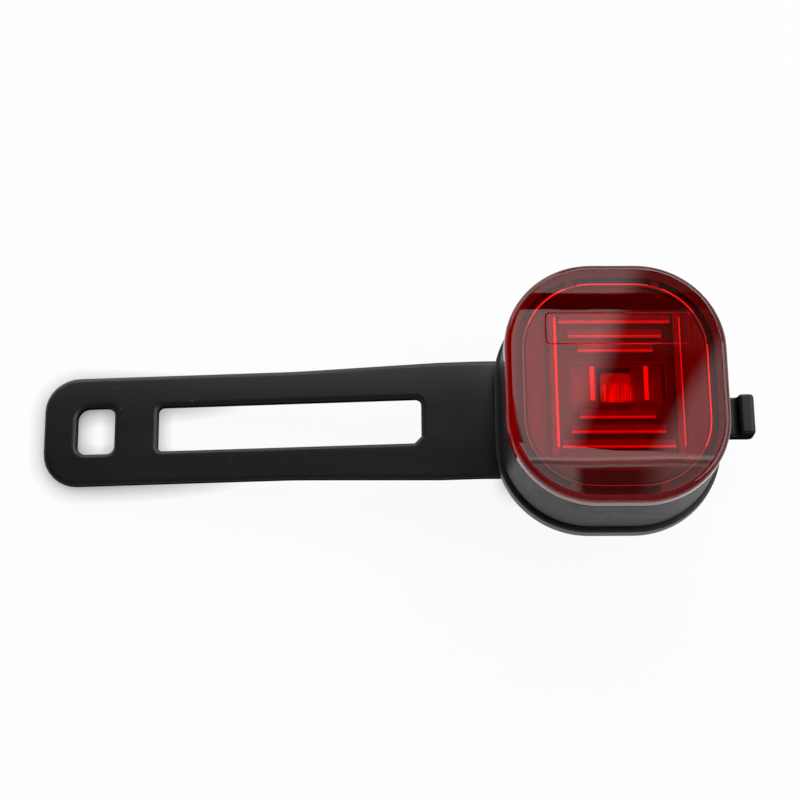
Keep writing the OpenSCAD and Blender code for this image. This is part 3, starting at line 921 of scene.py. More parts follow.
def screw_tree():
    """Four copies of one screw at the corners of a rectangle."""
    tree, net, get = new_tree("corner_screws", {
        "Screw": "Object", "Half Width": "Float", "Half Height": "Float", "Level": "Float",
        "Material": "Material",
    })
    index = net.node("GeometryNodeInputIndex")
    row = net.maths("FLOOR", index * 0.5)
    across = ((index - row * 2) * 2 - 1) * get["Half Width"]
    along = (row * 2 - 1) * get["Half Height"]
    place = net.node("ShaderNodeCombineXYZ", {}, {"X": across, "Y": along, "Z": get["Level"]})
    copies_at(net, 4, place, get["Screw"], get["Material"])
    return tree


def grow(name, tree, values):
    """Runs a geometry tree with these inputs and keeps the result as a plain mesh."""
    piece = bpy.data.objects.new(name, bpy.data.meshes.new(name))
    scene.collection.objects.link(piece)
    modifier = piece.modifiers.new("tree", "NODES")
    modifier.node_group = tree
    for item in tree.interface.items_tree:
        if item.in_out == "INPUT":
            modifier[item.identifier] = values[item.name]
    bake(piece)
    return piece


# Head


def outward(face):
    """How much a face looks away from the head's middle, times its distance in millimetres."""
    return (face.normal.x * face.center.x + face.normal.y * face.center.y) / MM


def on_painted_highlight(face):
    """Whether a face of the lens lies in the inner fillet's lit stretches, at the top and the right, which
    get a painted highlight.
    """
    x, y = face.center.x / MM, face.center.y / MM
    over_slit = abs(abs(x) - SLIT_X) < SLIT_W / 2 + SLIT_CLEAR
    at_top = y > LIT_TOP and not over_slit
    at_right = x > LIT_RIGHT and LIT_RIGHT_SPAN[0] < y < LIT_RIGHT_SPAN[1]
    sloped = LIT_SLOPE[0] < face.normal.z < LIT_SLOPE[1]
    return outward(face) < 0 and sloped and (at_top or at_right)


def build_lens(material, seat, bright):
    """The red lens: rounded edge, hollow back, snap-tab slits, frosted seat and a bare outlined plate."""
    profile = arc(SPIGOT_IN + INNER_EDGE, INNER_Z - INNER_EDGE, INNER_EDGE, 90, 180)
    seat_z, foot_z = LENS_Z + SEAT_GAP, SPIGOT_Z + SEAT_GAP
    profile += [(SPIGOT_IN, foot_z), (SPIGOT_OUT, foot_z), (SPIGOT_OUT, seat_z)]
    profile += [(LENS_CHAMFER, seat_z), (0, seat_z + LENS_CHAMFER)]
    profile += arc(LENS_EDGE, FACE_Z - LENS_EDGE, LENS_EDGE, 180, 90, 12)
    lens = new_piece("lens_clear", loft(head_rings(profile)))
    slits = []
    for side in (-1, 1):
        low = (side * SLIT_X - SLIT_W / 2, -HEAD_H / 2, SPIGOT_Z - 1)
        high = (side * SLIT_X + SLIT_W / 2, HEAD_H / 2, LENS_Z - SLIT_DROP)
        slits.append(block(low, high))
    flare, over = 0.1, FACE_Z + 0.2
    groove = [(PLATE_LINE, FACE_Z - PLATE_DEPTH), (-flare, over), (2 * PLATE_LINE + flare, over)]
    plate = loft(inset_rings(*PLATE_SIZE, PLATE_R, groove, 8), closed=True)
    combine(lens, "DIFFERENCE", *slits, moved(plate, PLATE_AT))
    place_piece(lens, material, "lens_red", "lens")
    lens.data.materials.append(seat)
    lens.data.materials.append(bright)
    for face in lens.data.polygons:
        if face.center.z / MM < seat_z + 0.02 and outward(face) > -0.1:
            face.material_index = 1
        # faces on the inner fillet's lit stretches take the glowing facet material: a painted highlight
        elif on_painted_highlight(face):
            face.material_index = 2


def build_optic(body, painted_lit_red, bright):
    """The stepped optic: its plate, the rails, uprights and window line on it, and their bright facets, which
    carry a painted highlight.
    """
    plate_w, plate_h = OPTIC_HIGH.x - OPTIC_LOW.x, OPTIC_HIGH.y - OPTIC_LOW.y
    plate_side = slab_side(0, OPTIC_LOW.z, OPTIC_TOP, OPTIC_EDGE)
    plate = loft(inset_rings(plate_w, plate_h, OPTIC_R, plate_side, 6))
    high = OPTIC_HIGH.z
    root, shoulder, facet_low = OPTIC_TOP - SINK, high - SINK, high - FACET_T
    stiles = []
    facets = []
    end = plate_h / 2 - RAIL_SHORT
    for side, facet_w in zip((-1, 1), RAIL_FACETS):
        inner, outer = side * RAIL_X - RAIL_W / 2, side * RAIL_X + RAIL_W / 2
        stiles.append(block((inner, -end, root), (outer, end, shoulder)))
        facets.append(block((outer - facet_w, RAIL_LIT[0], facet_low), (outer, RAIL_LIT[1], high)))
    half, lit, end = UPRIGHT_W / 2, UPRIGHT_FACET / 2, UPRIGHT_H / 2
    for x in UPRIGHTS:
        stiles.append(block((x - half, -end, root), (x + half, end, shoulder)))
        facets.append(block((x - lit, -end, facet_low), (x + lit, end, high)))
    (half_w, half_h), line_top = WINDOW_MARK, OPTIC_TOP + WINDOW_LINE_H
    line = [(0, root), (0, line_top), (-WINDOW_LINE, line_top), (-WINDOW_LINE, root)]
    window_line = loft(inset_rings(2 * half_w, 2 * half_h, WINDOW_MARK_R, line, 2), closed=True)
    rails = new_piece("optic_rails", moved(window_line, WINDOW_MARK_AT), *stiles)
    place_piece(rails, painted_lit_red, "optic_red")
    place_piece(new_piece("optic_plate", plate), body, "optic_red", "optic")
    facet_piece = new_piece("optic_facets", *facets)
    round_edges(facet_piece, 0.06, 2)
    place_piece(facet_piece, bright, "optic_red")


def build_bars(painted_lit_red, bright):
    """The optic's rows of prism bars, and the bright strip along each bar, which carries a painted highlight.
    """
    root, high = OPTIC_TOP - SINK, OPTIC_HIGH.z
    line, soft = BAR_LINE / 2, BAR_CHAMFER
    bar_top = high - BAR_DROP
    bar = [(line, root), (BAR_W - line, root), (BAR_W - line - SINK, bar_top), (line, bar_top)]
    strip = [(-line, root), (line, root), (line, high), (soft - line, high), (-line, high - soft)]
    tree = bar_tree()
    sizes = {"Rows": BAR_COUNT, "Start": BAR_START * MM, "Pitch": BAR_PITCH * MM}
    sizes.update({"Reach": BAR_REACH * MM, "Growth": BAR_GROWTH * MM})
    for name, section, material in (("optic_bars", bar, painted_lit_red), ("optic_bar_facets", strip, bright)):
        template = new_piece("bar_of_unit_length", prism(section, "X", -0.5 / MM, 0.5 / MM))
        bars = grow(name, tree, {"Bar": template, "Material": material, **sizes})
        bpy.data.objects.remove(template)
        place_piece(bars, material, "optic_red")


def build_reflector(material):
    """The reflector: a flat frame round a window, the funnel under it, and sloped wings beside the LED."""
    low, high = box_mm("reflector")
    inset = SPIGOT_IN + REFLECTOR_PLAY
    edge = 0.15
    profile = slab_side(inset, high.z - REFLECTOR_T, high.z, edge)
    reflector = new_piece("reflector_frame", loft(head_rings(profile)))
    half_w, half_h = WINDOW
    wall_w, wall_h = half_w + FUNNEL_T, half_h + FUNNEL_T
    combine(reflector, "UNION", block((-wall_w, -wall_h, low.z), (wall_w, wall_h, high.z - edge)))
    combine(reflector, "DIFFERENCE", block((-half_w, -half_h, low.z - 1), (half_w, half_h, high.z + 1)))
    wings = []
    outer, end = half_w + SINK, half_h + SINK
    for side in (-1, 1):
        slope = [(side * outer, high.z - WING_DROP), (side * outer, low.z), (side * WING_X, low.z)]
        wings.append(prism(slope, "Y", -end, end))
    join_parts(reflector, *wings)
    place_piece(reflector, material, "reflector_grey", "reflector")


def build_led(material):
    """The LED: a square base with cut corners under a clear dome."""
    low, high = box_mm("led")
    wide, tall = LED_SIZE
    base_top = low.z + LED_BASE_T
    levels = ((0, low.z), (0, base_top - LED_EDGE), (LED_EDGE, base_top))
    base = loft([ring(wide - 2 * i, tall - 2 * i, LED_CORNER, z, 4) for i, z in levels])
    rise = high.z - base_top
    turns = [math.radians(85 * i / 8) for i in range(9)]
    half_dome = [(LED_DOME_R * math.cos(t), base_top + rise * math.sin(t)) for t in turns]
    dome = lathe([(LED_DOME_R, base_top - SINK)] + half_dome)
    led = new_piece("led_body", moved(base, LED_AT), moved(dome, LED_AT))
    place_piece(led, material, "led_red", "led")


def button_oval(inset, y):
    """The button's oval, set in from its outline, at a place along Y."""
    wide, tall = BUTTON_W - 2 * inset, BUTTON_H - 2 * inset
    points = ring(wide, tall, tall / 2 - 0.001, 0, 12)
    return [Vector((p.x, y, p.y + BUTTON_Z)) for p in points]


def build_housing(material):
    """The housing's wall with its lens ledge, screw posts, button opening and flap recess."""
    soft = 0.25
    profile = arc(soft, HOUSE_Z + soft, soft, 270, 180, 4) + arc(soft, LENS_Z - soft, soft, 180, 90, 4)
    profile += [(WALL, LENS_Z), (WALL, LEDGE_Z), (SPIGOT_IN, LEDGE_Z), (SPIGOT_IN, LEDGE_Z - LEDGE_T)]
    profile += [(WALL, LEDGE_Z - LEDGE_T), (WALL, HOUSE_Z)]
    housing = new_piece("housing_shell", loft(head_rings(profile), closed=True))
    side, top = HEAD_W / 2, HEAD_H / 2
    low_z, high_z = FLAP_Z - FLAP_H / 2 - FLAP_PLAY, FLAP_Z + FLAP_H / 2 + FLAP_PLAY
    wide, tall = (size / 2 + SOCKET_PLAY for size in SOCKET_SIZE)
    knuckle_r = HINGE_R + FLAP_PLAY
    combine(
        housing, "DIFFERENCE",
        loft([button_oval(-FIT, y) for y in (top - WALL - 1, top + 1)]),
        block((side - FLAP_RECESS, FLAP_LOW.y - FLAP_PLAY, low_z),
              (side + 1, HINGE[1] + HINGE_R + 1, high_z)),
        block((side - WALL - 1, SOCKET_Y - wide, FLAP_Z - tall), (side, SOCKET_Y + wide, FLAP_Z + tall)),
        lathe([(knuckle_r, low_z), (knuckle_r, high_z)], HINGE, 20),
    )
    post = [(POST_R - POST_EDGE, FLOOR_Z), (POST_R, FLOOR_Z + POST_EDGE), (POST_R, BOARD_Z)]
    join_parts(housing, *at_corners(COVER_SCREW, post))
    place_piece(housing, material, "housing_black", "housing")


def build_cover(material):
    """The back cover: rounded edge, spigot, hollow floor and four screw recesses."""
    back_r, front_r = 0.8, 0.45
    profile = arc(back_r - COVER_LIP, COVER_Z + back_r, back_r, 270, 180)
    profile += arc(front_r - COVER_LIP, EDGE_Z - front_r, front_r, 180, 90)
    profile += [(SPIGOT_OUT, EDGE_Z), (SPIGOT_OUT, COVER_HIGH.z), (COVER_SPIGOT_IN, COVER_HIGH.z)]
    profile += [(COVER_SPIGOT_IN, FLOOR_Z)]
    cover = new_piece("cover_shell", loft(head_rings(profile)))
    recess = [(SCREW_RECESS_R, COVER_Z - 1), (SCREW_RECESS_R, COVER_Z + SCREW_HEAD_T)]
    hole = [(SCREW_HOLE_R, COVER_Z), (SCREW_HOLE_R, FLOOR_Z + 1)]
    combine(cover, "DIFFERENCE", *at_corners(COVER_SCREW, recess, hole))
    place_piece(cover, material, "cover_black", "back_cover")


def build_rear_seal(material):
    """The rubber seal that shows as a dark line between housing and cover."""
    soft = 0.25
    profile = arc(SEAL_INSET + soft, EDGE_Z + soft, soft, 270, 180, 3)
    profile += arc(SEAL_INSET + soft, HOUSE_Z - soft, soft, 180, 90, 3)
    profile += [(SPIGOT_OUT - SEAL_PLAY, HOUSE_Z), (SPIGOT_OUT - SEAL_PLAY, EDGE_Z)]
    seal = new_piece("rear_seal_ring", loft(head_rings(profile), closed=True))
    place_piece(seal, material, "seal_rubber", "rear_seal")


# Mount


def build_bracket(material):
    """The saddle bracket with its strap pocket, screw holes and hook."""
    foot_x = math.sqrt(CHANNEL_R ** 2 - FOOT_Z ** 2)
    start = math.degrees(math.atan2(FOOT_Z, foot_x))
    tongue_x = STRAP_X0 - TONGUE + TONGUE_PLAY
    channel = arc(0, 0, CHANNEL_R, start, 180 - start, 40)
    corners = [(-SADDLE_X, FOOT_Z, 0.6), (-SADDLE_X, STRAP_Z, 0.4), (tongue_x, STRAP_Z, 0)]
    corners += [(tongue_x, COVER_Z, 0), (SADDLE_X, COVER_Z, 0), (SADDLE_X, FOOT_Z, 0.6)]
    corners += [(x, z, 0) for x, z in channel]
    bracket = new_piece("bracket_saddle", prism(outline(corners), "Y", -SADDLE_Y, SADDLE_Y))
    round_edges(bracket, 0.4, 3, 55)
    lip_x, lip_z = BRACKET_HIGH.x, BRACKET_HIGH.z
    hook_low = COVER_Z - HOOK_T
    root_x = SADDLE_X - 2
    hook = outline([
        (root_x, hook_low, 0), (lip_x, hook_low, 1.2), (lip_x, lip_z, 0.9), (HOOK_IN, lip_z, 0.9),
        (HOOK_IN, COVER_Z, 0.7), (root_x, COVER_Z, 0),
    ])
    arm = new_piece("arm", prism(hook, "Y", -HOOK_HALF, HOOK_HALF))
    round_edges(arm, 0.6, 4, 60)
    combine(bracket, "UNION", arm)
    recess = [(SCREW_RECESS_R, FOOT_Z - 1), (SCREW_RECESS_R, COVER_Z - BRACKET_SEAT)]
    hole = [(SCREW_HOLE_R, FOOT_Z), (SCREW_HOLE_R, COVER_Z + 1)]
    cuts = at_corners(BRACKET_SCREW, recess) + at_corners(BRACKET_SCREW, hole, steps=20)
    combine(bracket, "DIFFERENCE", *cuts)
    place_piece(bracket, material, "bracket_black", "mount_bracket")


def build_pad(material):
    """The rubber pad in the channel, with grip grooves across the post's side."""
    pitch = 2 * SADDLE_Y / (GROOVES + 1)
    edge = 0.25
    section = [(PAD_OUT, -SADDLE_Y), (PAD_OUT, SADDLE_Y)]
    section += [(PAD_IN + edge, SADDLE_Y), (PAD_IN, SADDLE_Y - edge)]
    half, soft = GROOVE_W / 2, GROOVE_EDGE
    wall = [(0, half + soft), (soft, half), (GROOVE_D, half - soft)]
    for i in range(GROOVES, 0, -1):
        y = -SADDLE_Y + i * pitch
        section += [(PAD_IN + depth, y + across) for depth, across in wall]
        section += [(PAD_IN + depth, y - across) for depth, across in reversed(wall)]
    section += [(PAD_IN, -SADDLE_Y + edge), (PAD_IN + edge, -SADDLE_Y)]
    rings = []
    steps = 60
    for i in range(steps + 1):
        turn = math.radians(90 - PAD_HALF_ANGLE + 2 * PAD_HALF_ANGLE * i / steps)
        rings.append([Vector((r * math.cos(turn), y, r * math.sin(turn))) for r, y in section])
    pad = new_piece("pad_grooved", loft(rings))
    place_piece(pad, material, "pad_rubber", "saddle_pad")


def build_screws(material):
    """Cover and bracket screws, from one pan-head screw with a cross recess."""
    profile = arc(SCREW_HEAD_R - SCREW_EDGE, SCREW_EDGE, SCREW_EDGE, -90, 0, 6)
    profile += [(SCREW_HEAD_R, SCREW_HEAD_T), (SCREW_R, SCREW_HEAD_T)]
    start, depth, rise = THREAD
    for i in range(THREAD_TURNS):
        z = SCREW_HEAD_T + start + (SCREW_SHANK - 2 * start) * i / THREAD_TURNS
        profile += [(SCREW_R - depth, z), (SCREW_R, z + rise)]
    end, tip = SCREW_HEAD_T + SCREW_SHANK, 0.2
    profile += [(SCREW_R - tip, end), (tip, end)]
    screw = new_piece("screw", lathe(profile))
    long, thin, deep = SCREW_CROSS
    combine(screw, "DIFFERENCE", block((-long, -thin, -1), (long, thin, deep)),
            block((-thin, -long, -1), (thin, long, deep)))
    tree = screw_tree()
    sets = (
        ("cover_screw_set", "cover_screws", COVER_SCREW),
        ("bracket_screw_set", "bracket_screws", BRACKET_SCREW),
    )
    for name, node, (half_w, half_h) in sets:
        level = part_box(node)[0].z
        values = {"Screw": screw, "Half Width": half_w * MM, "Half Height": half_h * MM, "Level": level}
        screws = grow(name, tree, {"Material": material, **values})
        place_piece(screws, material, "screw_steel", node)
    bpy.data.objects.remove(screw)


# Button and flap


def build_button(material):
    """The rubber button on the top wall: a flange inside, and a dished oval outside."""
    top = BUTTON_HIGH.y
    flange_y = BUTTON_LOW.y + BUTTON_FLANGE_T
    edge = BUTTON_EDGE
    profile = [(-BUTTON_FLANGE, BUTTON_LOW.y), (-BUTTON_FLANGE, flange_y), (0, flange_y)]
    profile += arc(edge, top - edge, edge, 180, 90, 6)
    profile += [(edge + across, top - drop) for across, drop in BUTTON_DISH]
    button = new_piece("button_cap", loft([button_oval(inset, y) for inset, y in profile]))
    place_piece(button, material, "button_rubber", "power_button", body="button")


def build_flap(material):
    """The rubber flap over the charging socket, with its plug, hinge knuckle and a nail notch."""
    side = HEAD_W / 2
    low_x = side - FLAP_T
    low_z, high_z = FLAP_Z - FLAP_H / 2, FLAP_Z + FLAP_H / 2
    tip_r, root_r = FLAP_CORNERS
    face = outline([
        (FLAP_LOW.y, low_z, tip_r), (FLAP_ROOT_Y, low_z, root_r),
        (FLAP_ROOT_Y, high_z, root_r), (FLAP_LOW.y, high_z, tip_r),
    ])
    flap = new_piece("flap_cover", prism(face, "X", low_x, side))
    round_edges(flap, 0.2, 3, 50)
    notch = lathe(NOTCH, steps=24)
    sideways = Matrix.Rotation(math.radians(90), 4, "Y")
    place = Matrix.Translation((side - NOTCH_AT[0], FLAP_LOW.y + NOTCH_AT[1], FLAP_Z)) @ sideways
    bmesh.ops.transform(notch, matrix=place, verts=notch.verts)
    combine(flap, "DIFFERENCE", notch)
    wide, tall = (size / 2 - PLUG_INSET for size in SOCKET_SIZE)
    plug_corners = rectangle((SOCKET_Y - wide, FLAP_Z - tall), (SOCKET_Y + wide, FLAP_Z + tall))
    plug_face = outline([(y, z, PLUG_R) for y, z in plug_corners])
    edge = 0.1
    pin_low, pin_high = FLAP_LOW.z, FLAP_HIGH.z
    pin_profile = [(HINGE_R - edge, pin_low), (HINGE_R, pin_low + edge)]
    pin_profile += [(HINGE_R, pin_high - edge), (HINGE_R - edge, pin_high)]
    pin = lathe(pin_profile, HINGE, 24)
    join_parts(flap, prism(plug_face, "X", FLAP_LOW.x, low_x + PLUG_SINK), pin)
    place_piece(flap, material, "flap_rubber", "usb_flap", body="flap")


# Strap


def slab(name, outlines, thickness, edge):
    """A flat slab with rounded edges, from an outer outline and the outlines of its holes."""
    curve = bpy.data.curves.new(name, "CURVE")
    curve.dimensions = "2D"
    curve.fill_mode = "BOTH"
    curve.extrude = thickness / 2 - edge
    curve.bevel_depth = edge
    curve.bevel_resolution = 3
    curve.offset = -edge
    for points in outlines:
        spline = curve.splines.new("POLY")
        spline.points.add(len(points) - 1)
        for knot, point in zip(spline.points, points):
            knot.co = (point.x, point.y, 0, 1)
        spline.use_cyclic_u = True
    holder = bpy.data.objects.new(name, curve)
    scene.collection.objects.link(holder)
    bpy.context.view_layer.update()
    graph = bpy.context.evaluated_depsgraph_get()
    mesh = bpy.data.meshes.new_from_object(holder.evaluated_get(graph), depsgraph=graph)
    bpy.data.objects.remove(holder)
    bm = bmesh.new()
    bm.from_mesh(mesh)
    bpy.data.meshes.remove(mesh)
    bmesh.ops.remove_doubles(bm, verts=bm.verts, dist=0.001)
    return bm


def half_width(s):
    """Half width of the strap at a distance from the cover's edge."""
    for (s0, w0), (s1, w1) in zip(HALF_WIDTHS, HALF_WIDTHS[1:]):
        if s <= s1:
            t = max(0.0, (s - s0) / (s1 - s0))
            return w0 + (w1 - w0) * t
    return HALF_WIDTHS[-1][1]


def strap_outlines():
    """The strap's plan: its outer outline, the long slot and the end hole."""
    upper = [(s, half_width(s), 0) for s in EDGE_STOPS] + [(STRAP_LEN, half_width(STRAP_LEN), TIP_R)]
    outer = upper + [(s, -w, r) for s, w, r in reversed(upper)]
    s0, s1, w = SLOT
    slot = [(s0, SLOT_CUT - w, 0.4), (s0 + SLOT_CUT, -w, 0.4), (s1, -w, 1.0), (s1, w, 1.0), (s0, w, 1.2)]
    s0, s1, w = HOLE
    hole = [(s0, -w, 1.4), (s1, -w, 1.8), (s1, w, 2.2), (s0, w, 1.6)]
    return [outline(o) for o in (outer, slot, hole)]


def strap_place(s, y, up):
    """Where a point of the flat strap lies: level in the bracket, then bent down and drooping to its end."""
    bend = 2 * BENDS[0]
    turn = DROOP * min(max(s / bend, 0.0), 1.0)
    if s <= 0:
        x, z = s, 0.0
    elif s <= bend:
        x, z = math.sin(turn) * bend / DROOP, (1 - math.cos(turn)) * bend / DROOP
    else:
        x = math.sin(DROOP) * bend / DROOP + (s - bend) * math.cos(DROOP)
        z = (1 - math.cos(DROOP)) * bend / DROOP + (s - bend) * math.sin(DROOP)
    return Vector((STRAP_X0 - x - up * math.sin(turn), y, STRAP_Z - z + up * math.cos(turn)))


def strap_stations():
    """Distances at which the strap is cut into rows, close together where it bends."""
    stations = []
    for start, end, step in ROW_SPANS:
        count = round((end - start) / step)
        stations += [start + (end - start) * i / count for i in range(count)]
    return stations


def cut_at(bm, place, way=Vector((1, 0, 0)), clear_before=False, clear_after=False):
    """Cuts a flat strap mesh at a place along a way, and may drop what lies on one side."""
    geometry = bm.verts[:] + bm.edges[:] + bm.faces[:]
    bmesh.ops.bisect_plane(bm, geom=geometry, dist=1e-5, plane_co=way * place, plane_no=way,
                           clear_inner=clear_before, clear_outer=clear_after)


def crowned(s, y, up):
    """Height of a point over the strap's underside, with the top falling a little towards its edges."""
    share = min(abs(y) / half_width(s), 1.0)
    return STRAP_T / 2 + up - CROWN * share ** 3 * max(up, 0.0) / (STRAP_T / 2)


def build_strap(material):
    """The strap in one stretch per bend, each cut from the flat strap and laid in its bent rest shape."""
    flat = slab("strap", strap_outlines(), STRAP_T, STRAP_EDGE)
    for s in strap_stations():
        cut_at(flat, s)
    for y in CROWN_LINES:
        cut_at(flat, y, Vector((0, 1, 0)))
        cut_at(flat, -y, Vector((0, 1, 0)))
    middles = [(a + b) / 2 for a, b in zip(BENDS, BENDS[1:])]
    starts = [None] + middles
    ends = middles + [None]
    bodies = ["head"] + ["strap_%d" % (i + 1) for i in range(len(BENDS))]
    for i, (bend, reach, start, end) in enumerate(zip(BENDS, BEND_REACH, starts, ends)):
        bm = flat.copy()
        if start is not None:
            cut_at(bm, start, clear_before=True)
        if end is not None:
            cut_at(bm, end, clear_after=True)
        rims = [e for e in bm.edges if e.is_boundary]
        bmesh.ops.holes_fill(bm, edges=rims, sides=0)
        for vert in bm.verts:
            vert.co = strap_place(vert.co.x, vert.co.y, crowned(*vert.co))
        bmesh.ops.recalc_face_normals(bm, faces=bm.faces)
        piece = smooth(new_piece("strap_stretch_%d" % (i + 1), bm), 50)
        paint(piece, material)
        before, after = (strap_place(bend + d, 0, 0) * MM for d in (-reach, reach))
        bodies[i + 1]
        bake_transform(piece)
        nodes = ["strap_link_%d" % (i + 1)] + (["strap_root"] if i == 0 else [])
        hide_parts(*nodes)
    flat.free()


# Camera, floor and light


def way_to_camera():
    """The direction from the object to the camera."""
    lift, turn = math.radians(VIEW_ELEVATION), math.radians(VIEW_AZIMUTH)
    return Vector((math.sin(turn) * math.cos(lift), -math.cos(turn) * math.cos(lift), math.sin(lift)))


VIEW_BACK = way_to_camera()
VIEW_PLACE = Vector((*VIEW_TARGET, COVER_Z)) + VIEW_BACK * VIEW_DISTANCE

# Ceiling panel: its level, and its scale and middle as the flat lens mirrors them
CEILING_Z = 700.0
MIRROR = (CEILING_Z - FACE_Z) / (VIEW_PLACE.z - FACE_Z)
MIRROR_SCALE = 1 + MIRROR
MIRROR_AT = (-VIEW_PLACE.x * MIRROR, -VIEW_PLACE.y * MIRROR)

# What the panel shows, by the place on the lens that mirrors it: levels, soft edges and glows
# FAR_GLOW holds what is everywhere and at the left, and LOW_GLOW also what is at the right
GAP = (13.5, 16.75)
LEFT_GLOW = 2.1
LEFT_START = (-19.8, -19.2)
LEFT_LEAN = 0.2
LEFT_FADE = (-6.8, -0.8)
LEFT_SLANT = 0.39
RIGHT_GLOW = 1.35
RIGHT_FADE = (10.0, 14.5)
RIGHT_WAY = (0.857, -0.516)
UPPER_GLOW = 0.1
UPPER_FADE = (3.0, 9.0)
FAR_GLOW = (0.15, 1.7)
SHELF_TOP = -13.0
SHELF_SLANT = 0.075
SHELF_LEVELS = (-14.24, -14.84, -15.58)
SHELF_GLOWS = (2.1, 3.2, 0.9, 1.75)
SHELF_END = -16.1
LOW_GLOW = (0.08, 1.5, 0.95)
LOW_LEFT_FADE = (-9.0, -6.4)
LOW_RIGHT_FADE = (2.0, 10.0)

# Soft lights: name, place in metres and radiance
LIGHT_SIZE = 0.8
LIGHT_AIM = Vector((-0.03, 0, 0.02))
LIGHTS = (
    ("left_soft", (-0.5, 0.9, 0.5), 2.0),
    ("right_soft", (0.85, 0.05, 0.75), 2.6),
    ("back_soft", (0.3, 0.75, 0.85), 3.2),
)

# Surroundings: their dim light, the floor, and the cloths over the ceiling by their corners
SURROUND = (0.2, 0.5)
SURROUND_FADE = (-0.6, 0.5)
FLOOR_REACH = 3000
FLOOR_GAP = 0.02
CLEAR_SHARE = 0.94
SHADOW_REACH = 3.5
CLOTH_Z = CEILING_Z + 10
CLOTHS = {
    "ceiling_back": ((-330, 90), (290, 430)),
    "ceiling_left": ((-1600, -500), (-330, 1000)),
}


def aim_camera():
    """Puts the camera where the photograph was taken."""
    side = Vector((0, 0, 1)).cross(VIEW_BACK).normalized()
    top = VIEW_BACK.cross(side)
    roll = math.radians(VIEW_ROLL)
    right = side * math.cos(roll) + top * math.sin(roll)
    up = top * math.cos(roll) - side * math.sin(roll)
    data = bpy.data.cameras.new("camera")
    data.sensor_width = SENSOR
    data.lens = SENSOR * VIEW_SCALE * VIEW_DISTANCE / PHOTO_PX
    data.clip_start = 0.01
    camera = bpy.data.objects.new("camera", data)
    scene.collection.objects.link(camera)
    turned = Matrix((right, up, VIEW_BACK)).transposed().to_4x4()
    camera.matrix_world = Matrix.Translation(VIEW_PLACE * MM) @ turned
    scene.camera = camera


def background_ray(net):
    """1 for rays that show the background itself: from the camera, or by way of gloss or glass."""
    path = net.node("ShaderNodeLightPath")
    names = ("Is Camera Ray", "Is Glossy Ray", "Is Transmission Ray")
    outputs = path.socket.node.outputs
    camera, glossy, clear = (Wire(net.tree, outputs[n]) for n in names)
    return net.maths("MAXIMUM", camera, net.maths("MAXIMUM", glossy, clear))


def stage_plane(name, low, high, level, material, downward=False):
    """A level rectangle of the studio, in millimetres."""
    bm = bmesh.new()
    verts = [bm.verts.new((x, y, level)) for x, y in rectangle(low, high)]
    bm.faces.new(verts[::-1] if downward else verts)
    plane = new_piece(name, bm)
    paint(plane, material)


def white_floor():
    """White paper with a tight shadow, mostly clear to the eye, so that what lies under it shows."""
    net = new_material("floor_white")[0]
    paper = principled(net, {"Base Color": grey(0.96), "Roughness": 0.9, "Specular IOR Level": 0.0})
    shade = net.node("ShaderNodeAmbientOcclusion", {"samples": 16}, {"Distance": SHADOW_REACH * MM}, "Color")
    through = net.node("ShaderNodeBsdfTransparent", {}, {"Color": shade})
    return surface(net, mix_shader(background_ray(net) * CLEAR_SHARE, paper, through))


def ceiling_light():
    """Soft panels on a dark ceiling, drawn by the place on the flat lens that mirrors them."""
    net, place = new_material("ceiling_light")
    x, y = axis(place, 0), axis(place, 1)
    u = (x - MIRROR_AT[0]) * (1 / MIRROR_SCALE)
    v = (y - MIRROR_AT[1]) * (1 / MIRROR_SCALE)
    left = step_between(u + v * LEFT_LEAN, *LEFT_START) * (1 - step_between(u - v * LEFT_SLANT, *LEFT_FADE))
    right = step_between(u * RIGHT_WAY[0] + v * RIGHT_WAY[1], *RIGHT_FADE)
    upper = step_between(v, *UPPER_FADE)
    middle = net.maths("MAXIMUM", right * RIGHT_GLOW, upper * UPPER_GLOW)
    middle = net.maths("MAXIMUM", left * LEFT_GLOW, middle)
    far = left * FAR_GLOW[1] + FAR_GLOW[0]
    shelf = SHELF_GLOWS[0]
    for level, before, glow in zip(SHELF_LEVELS, SHELF_GLOWS, SHELF_GLOWS[1:]):
        shelf = (1 - (v > level)) * (glow - before) + shelf
    low_left = (1 - step_between(u, *LOW_LEFT_FADE)) * LOW_GLOW[1]
    below = low_left + step_between(u, *LOW_RIGHT_FADE) * LOW_GLOW[2] + LOW_GLOW[0]
    over = (v + u * SHELF_SLANT) > SHELF_TOP
    low = v > SHELF_END
    strength = far * (v > GAP[1]) + middle * (over - (v > GAP[0])) + (low - over) * shelf + below * (1 - low)
    return surface(net, net.node("ShaderNodeEmission", {}, {"Color": grey(1.0), "Strength": strength}))


def black_cloth():
    """Matt cloth that swallows the light."""
    net, place = new_material("black_cloth")
    fibres = mix_colour(noise(place, 3.0), grey(0.001), grey(0.004))
    return coat(net, {"Base Color": fibres, "Roughness": 1.0, "Specular IOR Level": 0.0})


def area_light(name, place, radiance):
    """A square area light that faces the object."""
    data = bpy.data.lights.new(name, "AREA")
    data.shape = "SQUARE"
    data.size = LIGHT_SIZE
    data.energy = radiance * math.pi * LIGHT_SIZE ** 2
    light = bpy.data.objects.new(name, data)
    scene.collection.objects.link(light)
    at = Vector(place)
    aim = LIGHT_AIM - at
    light.matrix_world = Matrix.Translation(at) @ aim.to_track_quat("-Z", "Y").to_matrix().to_4x4()


